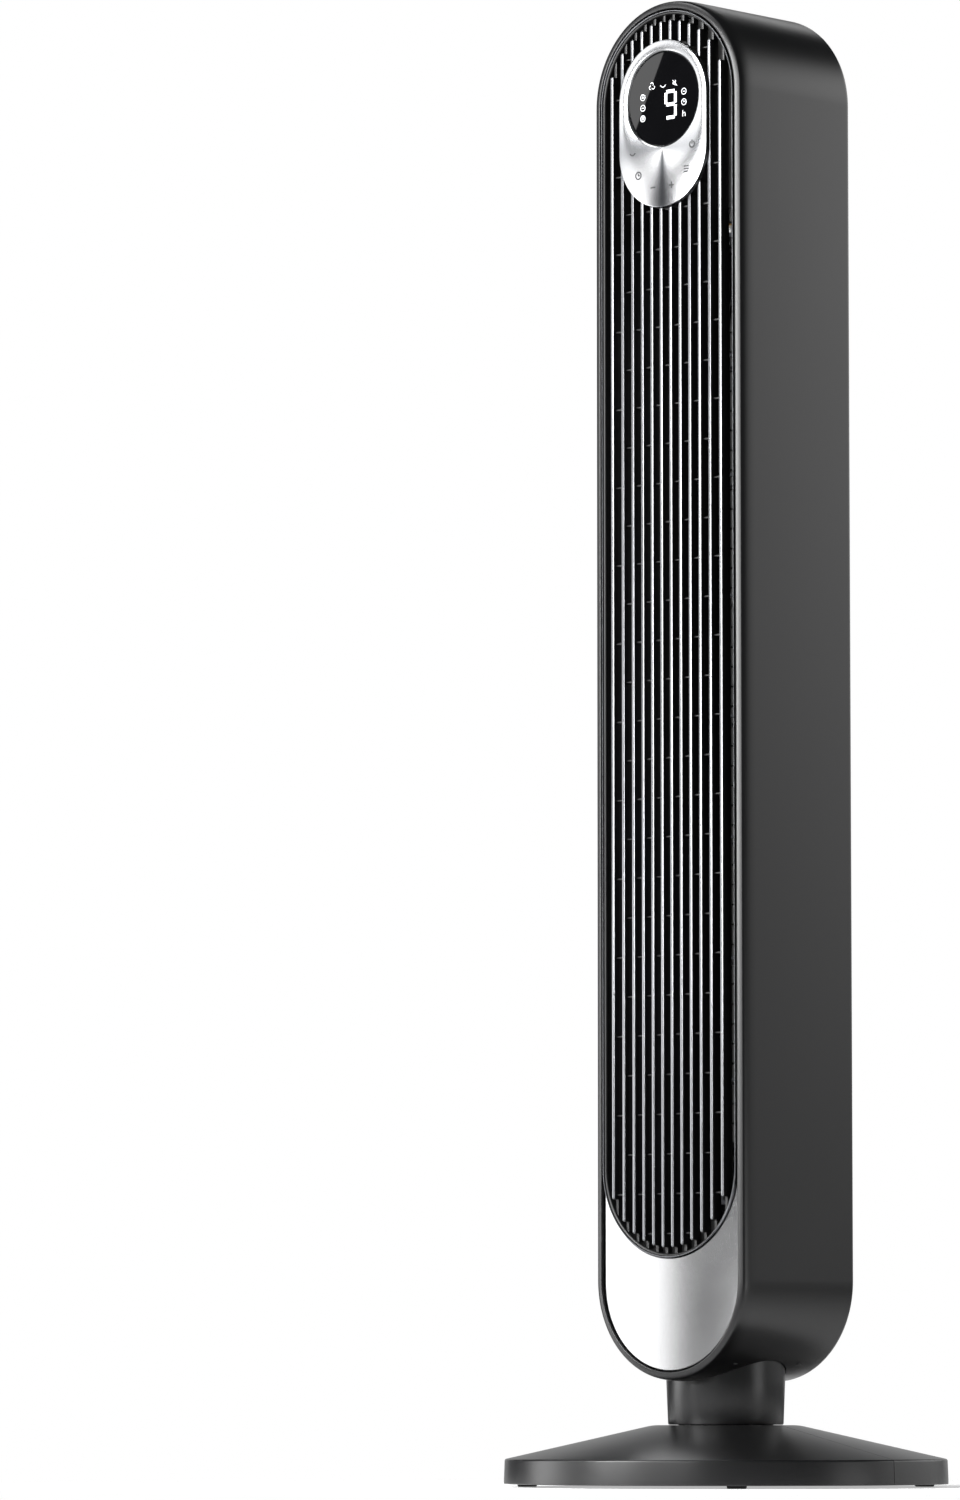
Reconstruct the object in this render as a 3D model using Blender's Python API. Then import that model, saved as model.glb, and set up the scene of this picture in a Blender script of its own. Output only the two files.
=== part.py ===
"""Oscillating tower fan: a stadium-shaped head on a short neck and a round two-piece base.

Metres, +Z up. The origin is the middle of the base on the floor, the front of the fan faces -Y.
Three axes turn: the head on its neck, the cross-flow impeller, and the swing pinion that
rolls round a gear fixed to the neck.
"""
import math

import bmesh
import bpy
from mathutils import Matrix, Vector

# ---------------------------------------------------------------- driving dimensions
TOTAL_HEIGHT = 1.067            # floor to the top of the head
FIT = 0.0003                    # gap between two pieces that touch
RUNNING_FIT = 0.0004            # gap round a piece that turns
SCREW_HOLE_RADIUS = 0.0018
ARC_STEPS = 18                  # facets in each half circle of a stadium

# head casing
HEAD_BOTTOM = 0.075             # height of its lowest point
HEAD_HALF_WIDTH = 0.0715
HEAD_FRONT = 0.060              # depth in front of the swivel axis
HEAD_BACK = 0.060               # depth behind it
HEAD_WALL = 0.0025
FRONT_ROUND_WIDTH = 0.0058      # rounding of the front edge, across the width
FRONT_ROUND_DEPTH = 0.0145      # and along the depth
LIP_WIDTH = 0.0063              # from the side face in to the opening for the front pieces
BACK_ROUND = 0.004
BACK_LIP = 0.0055               # from the side face in to the rear opening
LEDGE_SETBACK = 0.0123          # shelf behind the grille, from the casing's front edge
LEDGE_THICKNESS = 0.0022
LEDGE_WIDTH = 0.0047            # how far the shelf stands in from the opening

# front grille
INSERT_GAP = 0.0012             # shadow gap between the casing's lip and the front pieces
GRILLE_SETBACK = 0.0010         # the rim's face behind the casing's front edge
GRILLE_RIM = 0.0028
GRILLE_RISE = 0.0875            # lowest point of the rim above the head's
SLAT_COUNT = 12
SLAT_SIDE_GAP = 0.011594        # from the rim's outside to the middle of the last slat
SLAT_SPREAD = 0.00148           # growth of the pitch towards the sides
SLAT_WIDTH = 0.0024
SLAT_PROUD = 0.0022             # the slats' faces in front of the rim's face
SLAT_DEPTH = 0.0092
SLAT_END_MARGIN = 0.0073        # from the rim's outside to the end of a slat's face
SLAT_ROOT_DEPTH = 0.0052        # depth of the lower stretch that runs on into the rim
SLAT_ROOT_SINK = 0.0017         # from the rim's outside to the end of that stretch
SLAT_EASE = 0.0010              # corner taken off each end of a slat's face
RIB_ROW_PITCH = 0.1132          # cross ribs between one pair of slats
RIB_TOP_DROP = 0.1800           # first row below the top of the head
RIB_HEIGHT = 0.0012
RIB_SETBACK = 0.0030            # behind the slats' faces
RIB_DEPTH = 0.0050

# lower fascia
FASCIA_THICKNESS = 0.0028
FASCIA_TIP_DROP = 0.0135        # below the centre of the grille's lower arc
FASCIA_CLIP_INSET = 0.0091      # middle of a lower clip inside the fascia's edge
FASCIA_CLIP_ANGLE = math.radians(49)
FASCIA_SIDE_CLIP_INSET = 0.0080
FASCIA_SIDE_CLIP_DROP = 0.0515  # below the centre of the grille's lower arc
FASCIA_CLIP_HALF_WIDTH = 0.0020
FASCIA_CLIP_HALF_HEIGHT = 0.0050

# control panel and display
PANEL_HALF_WIDTH = 0.0425
PANEL_TOP_DROP = 0.0720         # centre of its upper arc below the top of the head
PANEL_STRAIGHT = 0.0365         # between the centres of its two arcs
PANEL_PROUD = 0.0045            # its face in front of the casing's front edge
PANEL_THICKNESS = 0.0037
PANEL_EDGE = 0.0008
WINDOW_BORDER = 0.0085          # from the panel's side to the window
WINDOW_THICKNESS = 0.0015
WINDOW_SETBACK = 0.0019
WINDOW_CHAMFER = 0.0017
POD_INSET = 0.0006              # pod side, inside the panel's side
POD_WALL = 0.0020
LIGHT_GUIDE_INSET = 0.0020      # inside the window's edge
LIGHT_GUIDE_THICKNESS = 0.0046
DISPLAY_BOARD_THICKNESS = 0.0016
BOARD_PARTS = (                 # capacitor, relay and terminal block
    # across, rise, half width, half height, depth
    (-0.020, 0.016, 0.009, 0.010, 0.0085),
    (0.004, 0.022, 0.008, 0.008, 0.0090),
    (0.023, 0.012, 0.006, 0.008, 0.0080),
)
TOUCH_PAD_MARGIN = 0.00237      # from its lower corners to the pod's wall
TOUCH_PAD_RISE = 0.0104         # above the lowest point inside the pod
TOUCH_PAD_HEIGHT = 0.0260
TOUCH_PAD_THICKNESS = 0.0008

# bulkheads, duct and impeller
UPPER_BULKHEAD_DROP = 0.1550    # its underside below the top of the head
BULKHEAD_THICKNESS = 0.0035
BAFFLE_THICKNESS = 0.0020
LOWER_BAFFLE_DROP = 0.0220
IMPELLER_BEHIND = 0.0100        # impeller axis behind the swivel axis
IMPELLER_RADIUS = 0.0380
IMPELLER_END_GAP = 0.0120       # between a bulkhead and the impeller's end disc
IMPELLER_DISC = 0.0020
IMPELLER_MID_DISCS = 2
BLADE_COUNT = 14
BLADE_CHORD = 0.0075
BLADE_THICKNESS = 0.0011
DUCT_WALL = 0.0018
DUCT_MOUTH_INSET = 0.0065       # inside the grille's rim
VOLUTE_START_GAP = 0.0030
VOLUTE_END_GAP = 0.0125
VOLUTE_START_ANGLE = 148        # degrees round the impeller's axis, from +X towards the back
VOLUTE_SWEEP = 56
VOLUTE_GROWTH = 1.3             # how late the gap widens
TONGUE_GAP = 0.0030
TONGUE_NOSE_ANGLES = (-14, -20, -26)
TONGUE_HEEL_OUT = 0.0060        # the nose's rear edge, out from the nose's arc
TONGUE_HEEL_FORWARD = 0.0040    # and forward of the impeller's axis
TONGUE_KNEE_OUT = 0.0045
TONGUE_KNEE_FORWARD = 0.0340

# top bearing
TOP_PIN_RADIUS = 0.0030
BUSH_RADIUS = 0.0070
BUSH_HEIGHT = 0.0070
BEARING_RUBBER_RADIUS = 0.0120

# impeller motor
MOTOR_RADIUS = 0.0340
MOTOR_HEIGHT = 0.0410
MOTOR_CLEARANCE = 0.0083        # above the swing motor
MOTOR_SHAFT_RADIUS = 0.0040
MOTOR_SHAFT_DEPTH = 0.0200      # of the shaft inside the motor
MOTOR_RUBBER_THICKNESS = 0.0039
MOTOR_STRAP_THICKNESS = 0.0015
MOTOR_STRAP_HALF_DEPTH = 0.0100
MOTOR_STRAP_EAR = 0.0160
HUB_RADIUS = 0.0110
HUB_HEIGHT = 0.0150

# rear cover, intake grille and handle
COVER_THICKNESS = 0.0030
COVER_SETBACK = 0.0004          # behind the casing's back edge
INTAKE_MARGIN = 0.0157          # from the cover's side to the intake window
INTAKE_RISE = 0.0200            # window's lower end above the lower bulkhead's underside
INTAKE_DROP = 0.0170            # its upper end below the upper bulkhead's underside
INTAKE_FRAME_OVERLAP = 0.0050
INTAKE_FRAME_THICKNESS = 0.0022
INTAKE_RIM = 0.0060
INTAKE_BARS = 6
INTAKE_BAR_WIDTH = 0.0030
INTAKE_CROSSBARS = 5
HANDLE_DROP = 0.0950            # its middle below the top of the head
HANDLE_WIDTH = 0.0860
HANDLE_HEIGHT = 0.0300
HANDLE_DEPTH = 0.0220
HANDLE_WALL = 0.0020
COVER_SCREW_INSET = 0.0047      # inside the cover's side
COVER_SCREW_RISE = 0.0250       # inside each end of the intake window
COVER_BOSS_LENGTH = 0.0120
COVER_BOSS_HALF_HEIGHT = 0.0050

# boards and wiring
MAIN_BOARD_HALF_WIDTH = 0.0340
MAIN_BOARD_GAP = 0.0004         # above the turntable
MAIN_BOARD_DROP = 0.0250        # its upper edge below the lower bulkhead
MAIN_BOARD_SETBACK = 0.0200     # behind the casing's front edge
BOARD_THICKNESS = 0.0016
HARNESS_RADIUS = 0.0018
HARNESS_INSET = 0.0050          # from the casing's inner face
HARNESS_SETBACK = 0.0300        # behind the casing's front edge
HARNESS_EXIT_ACROSS = 0.0220    # its hole in the baffle, from the middle
HARNESS_EXIT_RISE = 0.0065      # above the centre of the panel's lower arc
HARNESS_HOLE_HALF_WIDTH = 0.0040
HARNESS_CLEARANCE = 0.0012

# neck and base
NECK_RADIUS = 0.0425
NECK_TAPER = 0.0012             # how much slimmer it is at its foot
NECK_WALL = 0.0030
NECK_HOLE_GAP = 0.0008          # between the neck and the casing
STUB_STEP = 0.0073              # from the neck's foot in to the stub that the nut clamps
STUB_LENGTH = 0.0148            # below the top of the base
PIVOT_RADIUS = 0.0135
PIVOT_BORE = 0.0085
BASE_RADIUS = 0.1592
BASE_SIDE_DRAFT = 0.0007        # how much the side wall leans in at its top
BASE_EDGE_HEIGHT = 0.0200
BASE_EDGE_ROUND = 0.0014
BASE_SHOULDER = 0.0115          # flat round the neck's foot
BASE_TOP = 0.0438
BASE_WALL = 0.0030
BASE_STEPS = 24                 # facets in each half of the base
BASE_RIB_ANGLES = (30.0, 60.0, 120.0, 150.0)
BASE_RIB_THICKNESS = 0.0020
FOOT_RADIUS = 0.0070
FOOT_HEIGHT = 0.0040
FOOT_INSET = 0.0172             # from the base's edge
FOOT_EASE = 0.0006
FEET_PER_HALF = 2
FOOT_BOSS_RADIUS = 0.0090
BASE_CLEARANCE = 0.0020         # wall's lower edge above the floor
NUT_RIM = 0.0130                # from the neck's stub out to the nut's lobes
NUT_HEIGHT = 0.0090
NUT_LOBES = 10
NUT_LOBE_DEPTH = 0.0030
GLAND_RADIUS = 0.0052
GLAND_BORE = 0.0036
GLAND_LENGTH = 0.0110
GLAND_HEIGHT = 0.0100

# swing drive
GLIDE_INNER_RADIUS = 0.0220
GLIDE_INSET = 0.0025            # inside the neck's side
GLIDE_THICKNESS = 0.0020
TURNTABLE_SIDE_GAP = 0.00358    # to the casing at its underside
TURNTABLE_END_GAP = 0.0015      # to the shelf inside the casing's front
TURNTABLE_END_MARGIN = 0.0100   # beyond its screws
TURNTABLE_THICKNESS = 0.0040
TURNTABLE_SIDE_MARGIN = 0.0070  # from its screws to its sides
TURNTABLE_SCREW_GAP = 0.00172   # from a screw's boss to the hole round the neck
TURNTABLE_BOSS_RADIUS = 0.0045
GEAR_MODULE = 0.00125
GEAR_TEETH = 30
PINION_TEETH = 12
GEAR_HEIGHT = 0.0070
GEAR_PRESSURE_ANGLE = math.radians(25)
GEAR_ADDENDUM = 0.8 * GEAR_MODULE
GEAR_DEDENDUM = 1.1 * GEAR_MODULE
GEAR_BACKLASH = 0.00025
CIRCLIP_THICKNESS = 0.0012
CIRCLIP_WIDTH = 0.0038           # clear of the pinion beside it
PIVOT_PROUD = 0.0010            # pivot tube above the circlip
SWING_SHAFT_RADIUS = 0.0025
SWING_MOTOR_RADIUS = 0.0140
SWING_MOTOR_HEIGHT = 0.0190
SWING_MOTOR_OFFSET = 0.0080     # motor body behind its own shaft
SWING_MOTOR_EAR = 0.0210
BRACKET_SHEET = 0.0010
BRACKET_RISE = 0.0040           # bracket above the fixed gear
BRACKET_LEG_INSET = 0.0060      # leg's outer face inside the turntable's screws
BRACKET_FOOT = 0.0100
BRACKET_FRONT_MARGIN = 0.00725  # in front of the pinion's axis
BRACKET_BACK_MARGIN = 0.0090    # behind the turntable's screws

# screws
SCREW_HEAD_RADIUS = 0.0034
SCREW_HEAD_HEIGHT = 0.0020
SCREW_SHANK_RADIUS = 0.0014
SCREW_BITE = 0.0050             # thread in the casing's bosses
SHEET_SCREW_BITE = 0.0030       # thread above the motor strap
GRILLE_SCREW_LENGTH = 0.0055

# ---------------------------------------------------------------- places that follow
HEAD_LOW_CENTRE = HEAD_BOTTOM + HEAD_HALF_WIDTH
HEAD_HIGH_CENTRE = TOTAL_HEIGHT - HEAD_HALF_WIDTH
INNER_HALF_WIDTH = HEAD_HALF_WIDTH - HEAD_WALL
LIP_HALF_WIDTH = HEAD_HALF_WIDTH - LIP_WIDTH
LEDGE_HALF_WIDTH = LIP_HALF_WIDTH - LEDGE_WIDTH
LEDGE_FRONT = HEAD_FRONT - LEDGE_SETBACK
LEDGE_BACK = LEDGE_FRONT - LEDGE_THICKNESS
COVER_OUTER = HEAD_BACK - COVER_SETBACK
COVER_INNER = COVER_OUTER - COVER_THICKNESS
COVER_HALF_WIDTH = HEAD_HALF_WIDTH - BACK_LIP - FIT

# the front pieces, set in the casing's front opening
INSERT_HALF_WIDTH = LIP_HALF_WIDTH - INSERT_GAP
GRILLE_LOW_CENTRE = HEAD_BOTTOM + GRILLE_RISE + INSERT_HALF_WIDTH
GRILLE_FRONT = HEAD_FRONT - GRILLE_SETBACK
GRILLE_BACK = LEDGE_FRONT + FIT
SLAT_FRONT = GRILLE_FRONT + SLAT_PROUD
PANEL_TOP_CENTRE = TOTAL_HEIGHT - PANEL_TOP_DROP
PANEL_LOW_CENTRE = PANEL_TOP_CENTRE - PANEL_STRAIGHT
PANEL_FRONT = HEAD_FRONT + PANEL_PROUD
PANEL_BACK = PANEL_FRONT - PANEL_THICKNESS
WINDOW_RADIUS = PANEL_HALF_WIDTH - WINDOW_BORDER
POD_HALF_WIDTH = PANEL_HALF_WIDTH - POD_INSET
POD_INNER_HALF_WIDTH = POD_HALF_WIDTH - POD_WALL

# the turntable sits as low as its corners allow, and the neck reaches up to it
TURNTABLE_HALF_DEPTH = LEDGE_BACK - TURNTABLE_END_GAP
TURNTABLE_SCREW_ALONG = TURNTABLE_HALF_DEPTH - TURNTABLE_END_MARGIN
TURNTABLE_SCREW_CIRCLE = NECK_RADIUS + NECK_HOLE_GAP + TURNTABLE_BOSS_RADIUS + TURNTABLE_SCREW_GAP
TURNTABLE_SCREW_ACROSS = math.sqrt(TURNTABLE_SCREW_CIRCLE ** 2 - TURNTABLE_SCREW_ALONG ** 2)
TURNTABLE_HALF_WIDTH = TURNTABLE_SCREW_ACROSS + TURNTABLE_SIDE_MARGIN
TURNTABLE_REACH = TURNTABLE_HALF_WIDTH + TURNTABLE_SIDE_GAP
TURNTABLE_BOTTOM = HEAD_LOW_CENTRE - math.sqrt(INNER_HALF_WIDTH ** 2 - TURNTABLE_REACH ** 2)
TURNTABLE_TOP = TURNTABLE_BOTTOM + TURNTABLE_THICKNESS
NECK_TOP = TURNTABLE_BOTTOM - FIT - GLIDE_THICKNESS - FIT
NECK_FOOT_RADIUS = NECK_RADIUS - NECK_TAPER
STUB_RADIUS = NECK_FOOT_RADIUS - STUB_STEP
NUT_RADIUS = STUB_RADIUS + NUT_RIM
BASE_EDGE_RADIUS = BASE_RADIUS - BASE_SIDE_DRAFT
BASE_TOP_RADIUS = NECK_FOOT_RADIUS + BASE_SHOULDER
FOOT_CIRCLE = BASE_RADIUS - FOOT_INSET

# the swing drive stands on the turntable, the fan's motor above it, the bulkhead above that
GEAR_BOTTOM = TURNTABLE_TOP + FIT
GEAR_TOP = GEAR_BOTTOM + GEAR_HEIGHT
CIRCLIP_TOP = GEAR_TOP + FIT + CIRCLIP_THICKNESS
PIVOT_TOP = CIRCLIP_TOP + PIVOT_PROUD
GEAR_SPACING = GEAR_MODULE * (GEAR_TEETH + PINION_TEETH) / 2
BRACKET_TOP = GEAR_TOP + BRACKET_RISE + BRACKET_SHEET
SWING_MOTOR_BOTTOM = BRACKET_TOP + FIT
MOTOR_BOTTOM = SWING_MOTOR_BOTTOM + SWING_MOTOR_HEIGHT + MOTOR_CLEARANCE
MOTOR_TOP = MOTOR_BOTTOM + MOTOR_HEIGHT
LOWER_BULKHEAD = MOTOR_TOP + FIT + MOTOR_RUBBER_THICKNESS + FIT
UPPER_BULKHEAD = TOTAL_HEIGHT - UPPER_BULKHEAD_DROP
BULKHEAD_FRONT = LEDGE_BACK - FIT
BULKHEAD_REAR = COVER_INNER - 2 * FIT
POD_BACK = BULKHEAD_FRONT + 2 * FIT
DUCT_FLOOR = LOWER_BULKHEAD + BULKHEAD_THICKNESS
IMPELLER_LOW = DUCT_FLOOR + IMPELLER_END_GAP
IMPELLER_HIGH = UPPER_BULKHEAD - IMPELLER_END_GAP

# the intake window, level with the duct
INTAKE_HALF_WIDTH = COVER_HALF_WIDTH - INTAKE_MARGIN
INTAKE_BOTTOM = LOWER_BULKHEAD + INTAKE_RISE
INTAKE_TOP = UPPER_BULKHEAD - INTAKE_DROP
INTAKE_LOW_CENTRE = INTAKE_BOTTOM + INTAKE_HALF_WIDTH
INTAKE_HIGH_CENTRE = INTAKE_TOP - INTAKE_HALF_WIDTH

# boards and wiring
MAIN_BOARD_BOTTOM = TURNTABLE_TOP + MAIN_BOARD_GAP
MAIN_BOARD_TOP = LOWER_BULKHEAD - MAIN_BOARD_DROP
MAIN_BOARD_FRONT = HEAD_FRONT - MAIN_BOARD_SETBACK
HARNESS_ACROSS = INNER_HALF_WIDTH - HARNESS_INSET
HARNESS_FRONT = HEAD_FRONT - HARNESS_SETBACK
HARNESS_EXIT = (HARNESS_EXIT_ACROSS, -BULKHEAD_FRONT, PANEL_LOW_CENTRE + HARNESS_EXIT_RISE)

# ---------------------------------------------------------------- finishes
FINISHES = {
    # name: (linear colour, roughness, metallic)
    "satin_black_abs": ((0.012, 0.012, 0.013), 0.38, 0.0),
    "moulded_black_abs": ((0.008, 0.008, 0.009), 0.55, 0.0),
    "silver_painted_abs": ((0.60, 0.60, 0.61), 0.32, 0.85),
    "spun_aluminium": ((0.80, 0.80, 0.81), 0.25, 1.0),
    "smoked_acrylic": ((0.004, 0.004, 0.005), 0.06, 0.0),
    "milky_polycarbonate": ((0.75, 0.75, 0.73), 0.45, 0.0),
    "green_circuit_board": ((0.010, 0.070, 0.030), 0.45, 0.0),
    "grey_polypropylene": ((0.055, 0.055, 0.060), 0.50, 0.0),
    "galvanised_sheet": ((0.50, 0.51, 0.52), 0.40, 1.0),
    "zinc_plated_steel": ((0.55, 0.55, 0.54), 0.35, 1.0),
    "ground_steel": ((0.58, 0.58, 0.58), 0.22, 1.0),
    "sintered_bronze": ((0.42, 0.26, 0.11), 0.45, 1.0),
    "black_rubber": ((0.010, 0.010, 0.010), 0.85, 0.0),
    "white_acetal": ((0.70, 0.70, 0.67), 0.35, 0.0),
    "black_pvc": ((0.014, 0.014, 0.014), 0.50, 0.0),
}


def new_material(piece_name, finish_name):
    """A Principled material of one finish, for one piece."""
    colour, roughness, metallic = FINISHES[finish_name]
    material = bpy.data.materials.new(f"{piece_name}_{finish_name}")
    material.use_nodes = True
    shader = material.node_tree.nodes["Principled BSDF"]
    shader.inputs["Base Color"].default_value = (*colour, 1.0)
    shader.inputs["Roughness"].default_value = roughness
    shader.inputs["Metallic"].default_value = metallic
    return material


def new_axis(name, location, parent=None):
    """An empty that stands for a body; the pieces of that body are its children."""
    axis = bpy.data.objects.new(name, None)
    axis.empty_display_size = 0.03
    bpy.context.scene.collection.objects.link(axis)
    if parent:
        axis.parent = parent
        location = Vector(location) - parent_place(parent)
    axis.location = location
    return axis


def parent_place(axis):
    """World place of an axis, from its own location and its parents'."""
    place = Vector(axis.location)
    while axis.parent:
        axis = axis.parent
        place += axis.location
    return place


def new_mesh(name, shape, origin):
    """Finish a bmesh: merge, turn its faces outwards, shade it and move it to its origin."""
    bmesh.ops.remove_doubles(shape, verts=shape.verts, dist=1e-7)
    bmesh.ops.recalc_face_normals(shape, faces=shape.faces)
    bmesh.ops.translate(shape, verts=shape.verts, vec=-Vector(origin))
    mesh = bpy.data.meshes.new(name)
    shape.to_mesh(mesh)
    shape.free()
    mesh.shade_smooth()
    mesh.set_sharp_from_angle(angle=math.radians(32))
    return mesh


def new_piece(name, shape, finish_name, axis, place=(0, 0, 0)):
    """A sub-part modelled in world coordinates, riding on an axis."""
    mesh = new_mesh(name, shape, parent_place(axis))
    mesh.materials.append(new_material(name, finish_name))
    return place_piece(name, mesh, axis, place)


def place_piece(name, mesh, axis, place=(0, 0, 0)):
    """An object of a mesh, moved by place from where its mesh was modelled."""
    piece = bpy.data.objects.new(name, mesh)
    bpy.context.scene.collection.objects.link(piece)
    piece.parent = axis
    piece.location = place
    return piece


def new_tool(piece, name, shape, operation):
    """Cut a shape out of a piece, or join it on, with a Boolean modifier."""
    mesh = new_mesh(name, shape, parent_place(piece.parent))
    tool = place_piece(name, mesh, piece.parent)
    tool.hide_render = True
    tool.display_type = "WIRE"
    modifier = piece.modifiers.new(name, "BOOLEAN")
    modifier.operation = operation
    modifier.solver = "EXACT"
    modifier.use_self = operation == "UNION"
    modifier.object = tool
    return tool


def cut(piece, name, shape):
    return new_tool(piece, f"{piece.name}_{name}_cutter", shape, "DIFFERENCE")


def join(piece, name, shape):
    """Join shapes on; they may overlap each other as well."""
    return new_tool(piece, f"{piece.name}_{name}_addition", shape, "UNION")


# ---------------------------------------------------------------- shapes
def stadium_loop(half_width, y, low_centre, high_centre):
    """Points of an upright stadium in a plane of constant y."""
    points = []
    for centre, start in ((high_centre, 0.0), (low_centre, math.pi)):
        for step in range(ARC_STEPS + 1):
            angle = start + math.pi * step / ARC_STEPS
            points.append((half_width * math.cos(angle), y, centre + half_width * math.sin(angle)))
    return points


def bridge(shape, first, second):
    """Quads between two closed loops of vertices."""
    count = len(first)
    for index in range(count):
        after = (index + 1) % count
        shape.faces.new((first[index], first[after], second[after], second[index]))


def stadium_shape(section, low_centre, high_centre, ring=False):
    """Sweep (half width, depth in front of the axis) points round a stadium.

    A ring's section is closed on itself; any other has its first and last loops filled.
    """
    shape = bmesh.new()
    loops = []
    for half_width, front in section:
        points = stadium_loop(half_width, -front, low_centre, high_centre)
        loops.append([shape.verts.new(point) for point in points])
    for first, second in zip(loops, loops[1:]):
        bridge(shape, first, second)
    if ring:
        bridge(shape, loops[-1], loops[0])
    else:
        shape.faces.new(loops[0])
        shape.faces.new(loops[-1])
    return shape


def turned_shape(profile, steps, centre=(0, 0, 0), ring=False, direction="Z"):
    """Turn (radius, height) points round an axis through centre.

    A ring's profile is closed on itself; any other has its ends filled flat.
    """
    shape = bmesh.new()
    loops = []
    for radius, height in profile:
        loop = []
        for step in range(steps):
            angle = 2 * math.pi * step / steps
            point = (radius * math.cos(angle), radius * math.sin(angle), height)
            loop.append(shape.verts.new(point))
        loops.append(loop)
    for first, second in zip(loops, loops[1:]):
        bridge(shape, first, second)
    if ring:
        bridge(shape, loops[-1], loops[0])
    else:
        shape.faces.new(loops[0])
        shape.faces.new(loops[-1])
    if direction == "Y":
        bmesh.ops.rotate(shape, verts=shape.verts, matrix=Matrix.Rotation(math.radians(-90), 3, "X"))
    bmesh.ops.translate(shape, verts=shape.verts, vec=centre)
    return shape


def prism_shape(outline, extrusion):
    """Extrude a closed outline of 3-D points along a vector."""
    shape = bmesh.new()
    face = shape.faces.new([shape.verts.new(point) for point in outline])
    extruded = bmesh.ops.extrude_face_region(shape, geom=[face], use_keep_orig=True)
    moved = [item for item in extruded["geom"] if isinstance(item, bmesh.types.BMVert)]
    bmesh.ops.translate(shape, verts=moved, vec=extrusion)
    return shape


def box_shape(low, high):
    low = Vector(low)
    high = Vector(high)
    shape = bmesh.new()
    bmesh.ops.create_cube(shape, size=1)
    bmesh.ops.scale(shape, verts=shape.verts, vec=high - low)
    bmesh.ops.translate(shape, verts=shape.verts, vec=(low + high) / 2)
    return shape


def merged_shape(shapes):
    """Several closed shapes in one bmesh; a Boolean joins them where they overlap."""
    whole = bmesh.new()
    for shape in shapes:
        bmesh.ops.recalc_face_normals(shape, faces=shape.faces)
        copies = {vert: whole.verts.new(vert.co) for vert in shape.verts}
        for face in shape.faces:
            whole.faces.new([copies[vert] for vert in face.verts])
        shape.free()
    return whole


def ribbon_shape(points, thickness, low, high):
    """A bent sheet of even thickness: a line of (x, y) points, thickened and extruded up."""
    left = []
    right = []
    for index, point in enumerate(points):
        before = Vector(points[max(index - 1, 0)])
        after = Vector(points[min(index + 1, len(points) - 1)])
        run = (after - before).normalized()
        side = Vector((-run.y, run.x)) * thickness / 2
        left.append(Vector(point) + side)
        right.append(Vector(point) - side)
    outline = [(point.x, point.y, low) for point in left + right[::-1]]
    return prism_shape(outline, (0, 0, high - low))


def screw_shape(head_top, length, centre, direction="Z", facing=1):
    """A pan-head screw; facing is +1 where its head points along its direction."""
    profile = [
        (SCREW_HEAD_RADIUS * 0.8, 0.0),
        (SCREW_HEAD_RADIUS, -SCREW_HEAD_HEIGHT * 0.45),
        (SCREW_HEAD_RADIUS, -SCREW_HEAD_HEIGHT),
        (SCREW_SHANK_RADIUS, -SCREW_HEAD_HEIGHT),
        (SCREW_SHANK_RADIUS, -SCREW_HEAD_HEIGHT - length),
    ]
    turned = [(radius, head_top + facing * height) for radius, height in profile]
    return turned_shape(turned, 10, centre, direction=direction)


def gear_outline(teeth, first_tooth_angle):
    """(x, y) points of involute teeth, round the gear's own centre."""
    pitch_radius = GEAR_MODULE * teeth / 2
    base_radius = pitch_radius * math.cos(GEAR_PRESSURE_ANGLE)
    root_radius = pitch_radius - GEAR_DEDENDUM
    tip_radius = pitch_radius + GEAR_ADDENDUM
    half_tooth = (math.pi * GEAR_MODULE / 2 - GEAR_BACKLASH) / 2 / pitch_radius
    pitch_involute = math.tan(GEAR_PRESSURE_ANGLE) - GEAR_PRESSURE_ANGLE
    flank_start = max(root_radius, base_radius)
    flank = [root_radius, flank_start, pitch_radius, tip_radius]
    if flank_start == root_radius:
        flank = flank[1:]
    points = []
    for tooth in range(teeth):
        middle = first_tooth_angle + 2 * math.pi * tooth / teeth
        for side, radii in ((-1, flank), (1, flank[::-1])):
            for radius in radii:
                pressure = math.acos(min(1.0, base_radius / max(radius, base_radius)))
                half_angle = half_tooth + pitch_involute - (math.tan(pressure) - pressure)
                angle = middle + side * half_angle
                points.append((radius * math.cos(angle), radius * math.sin(angle)))
    return points


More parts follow.
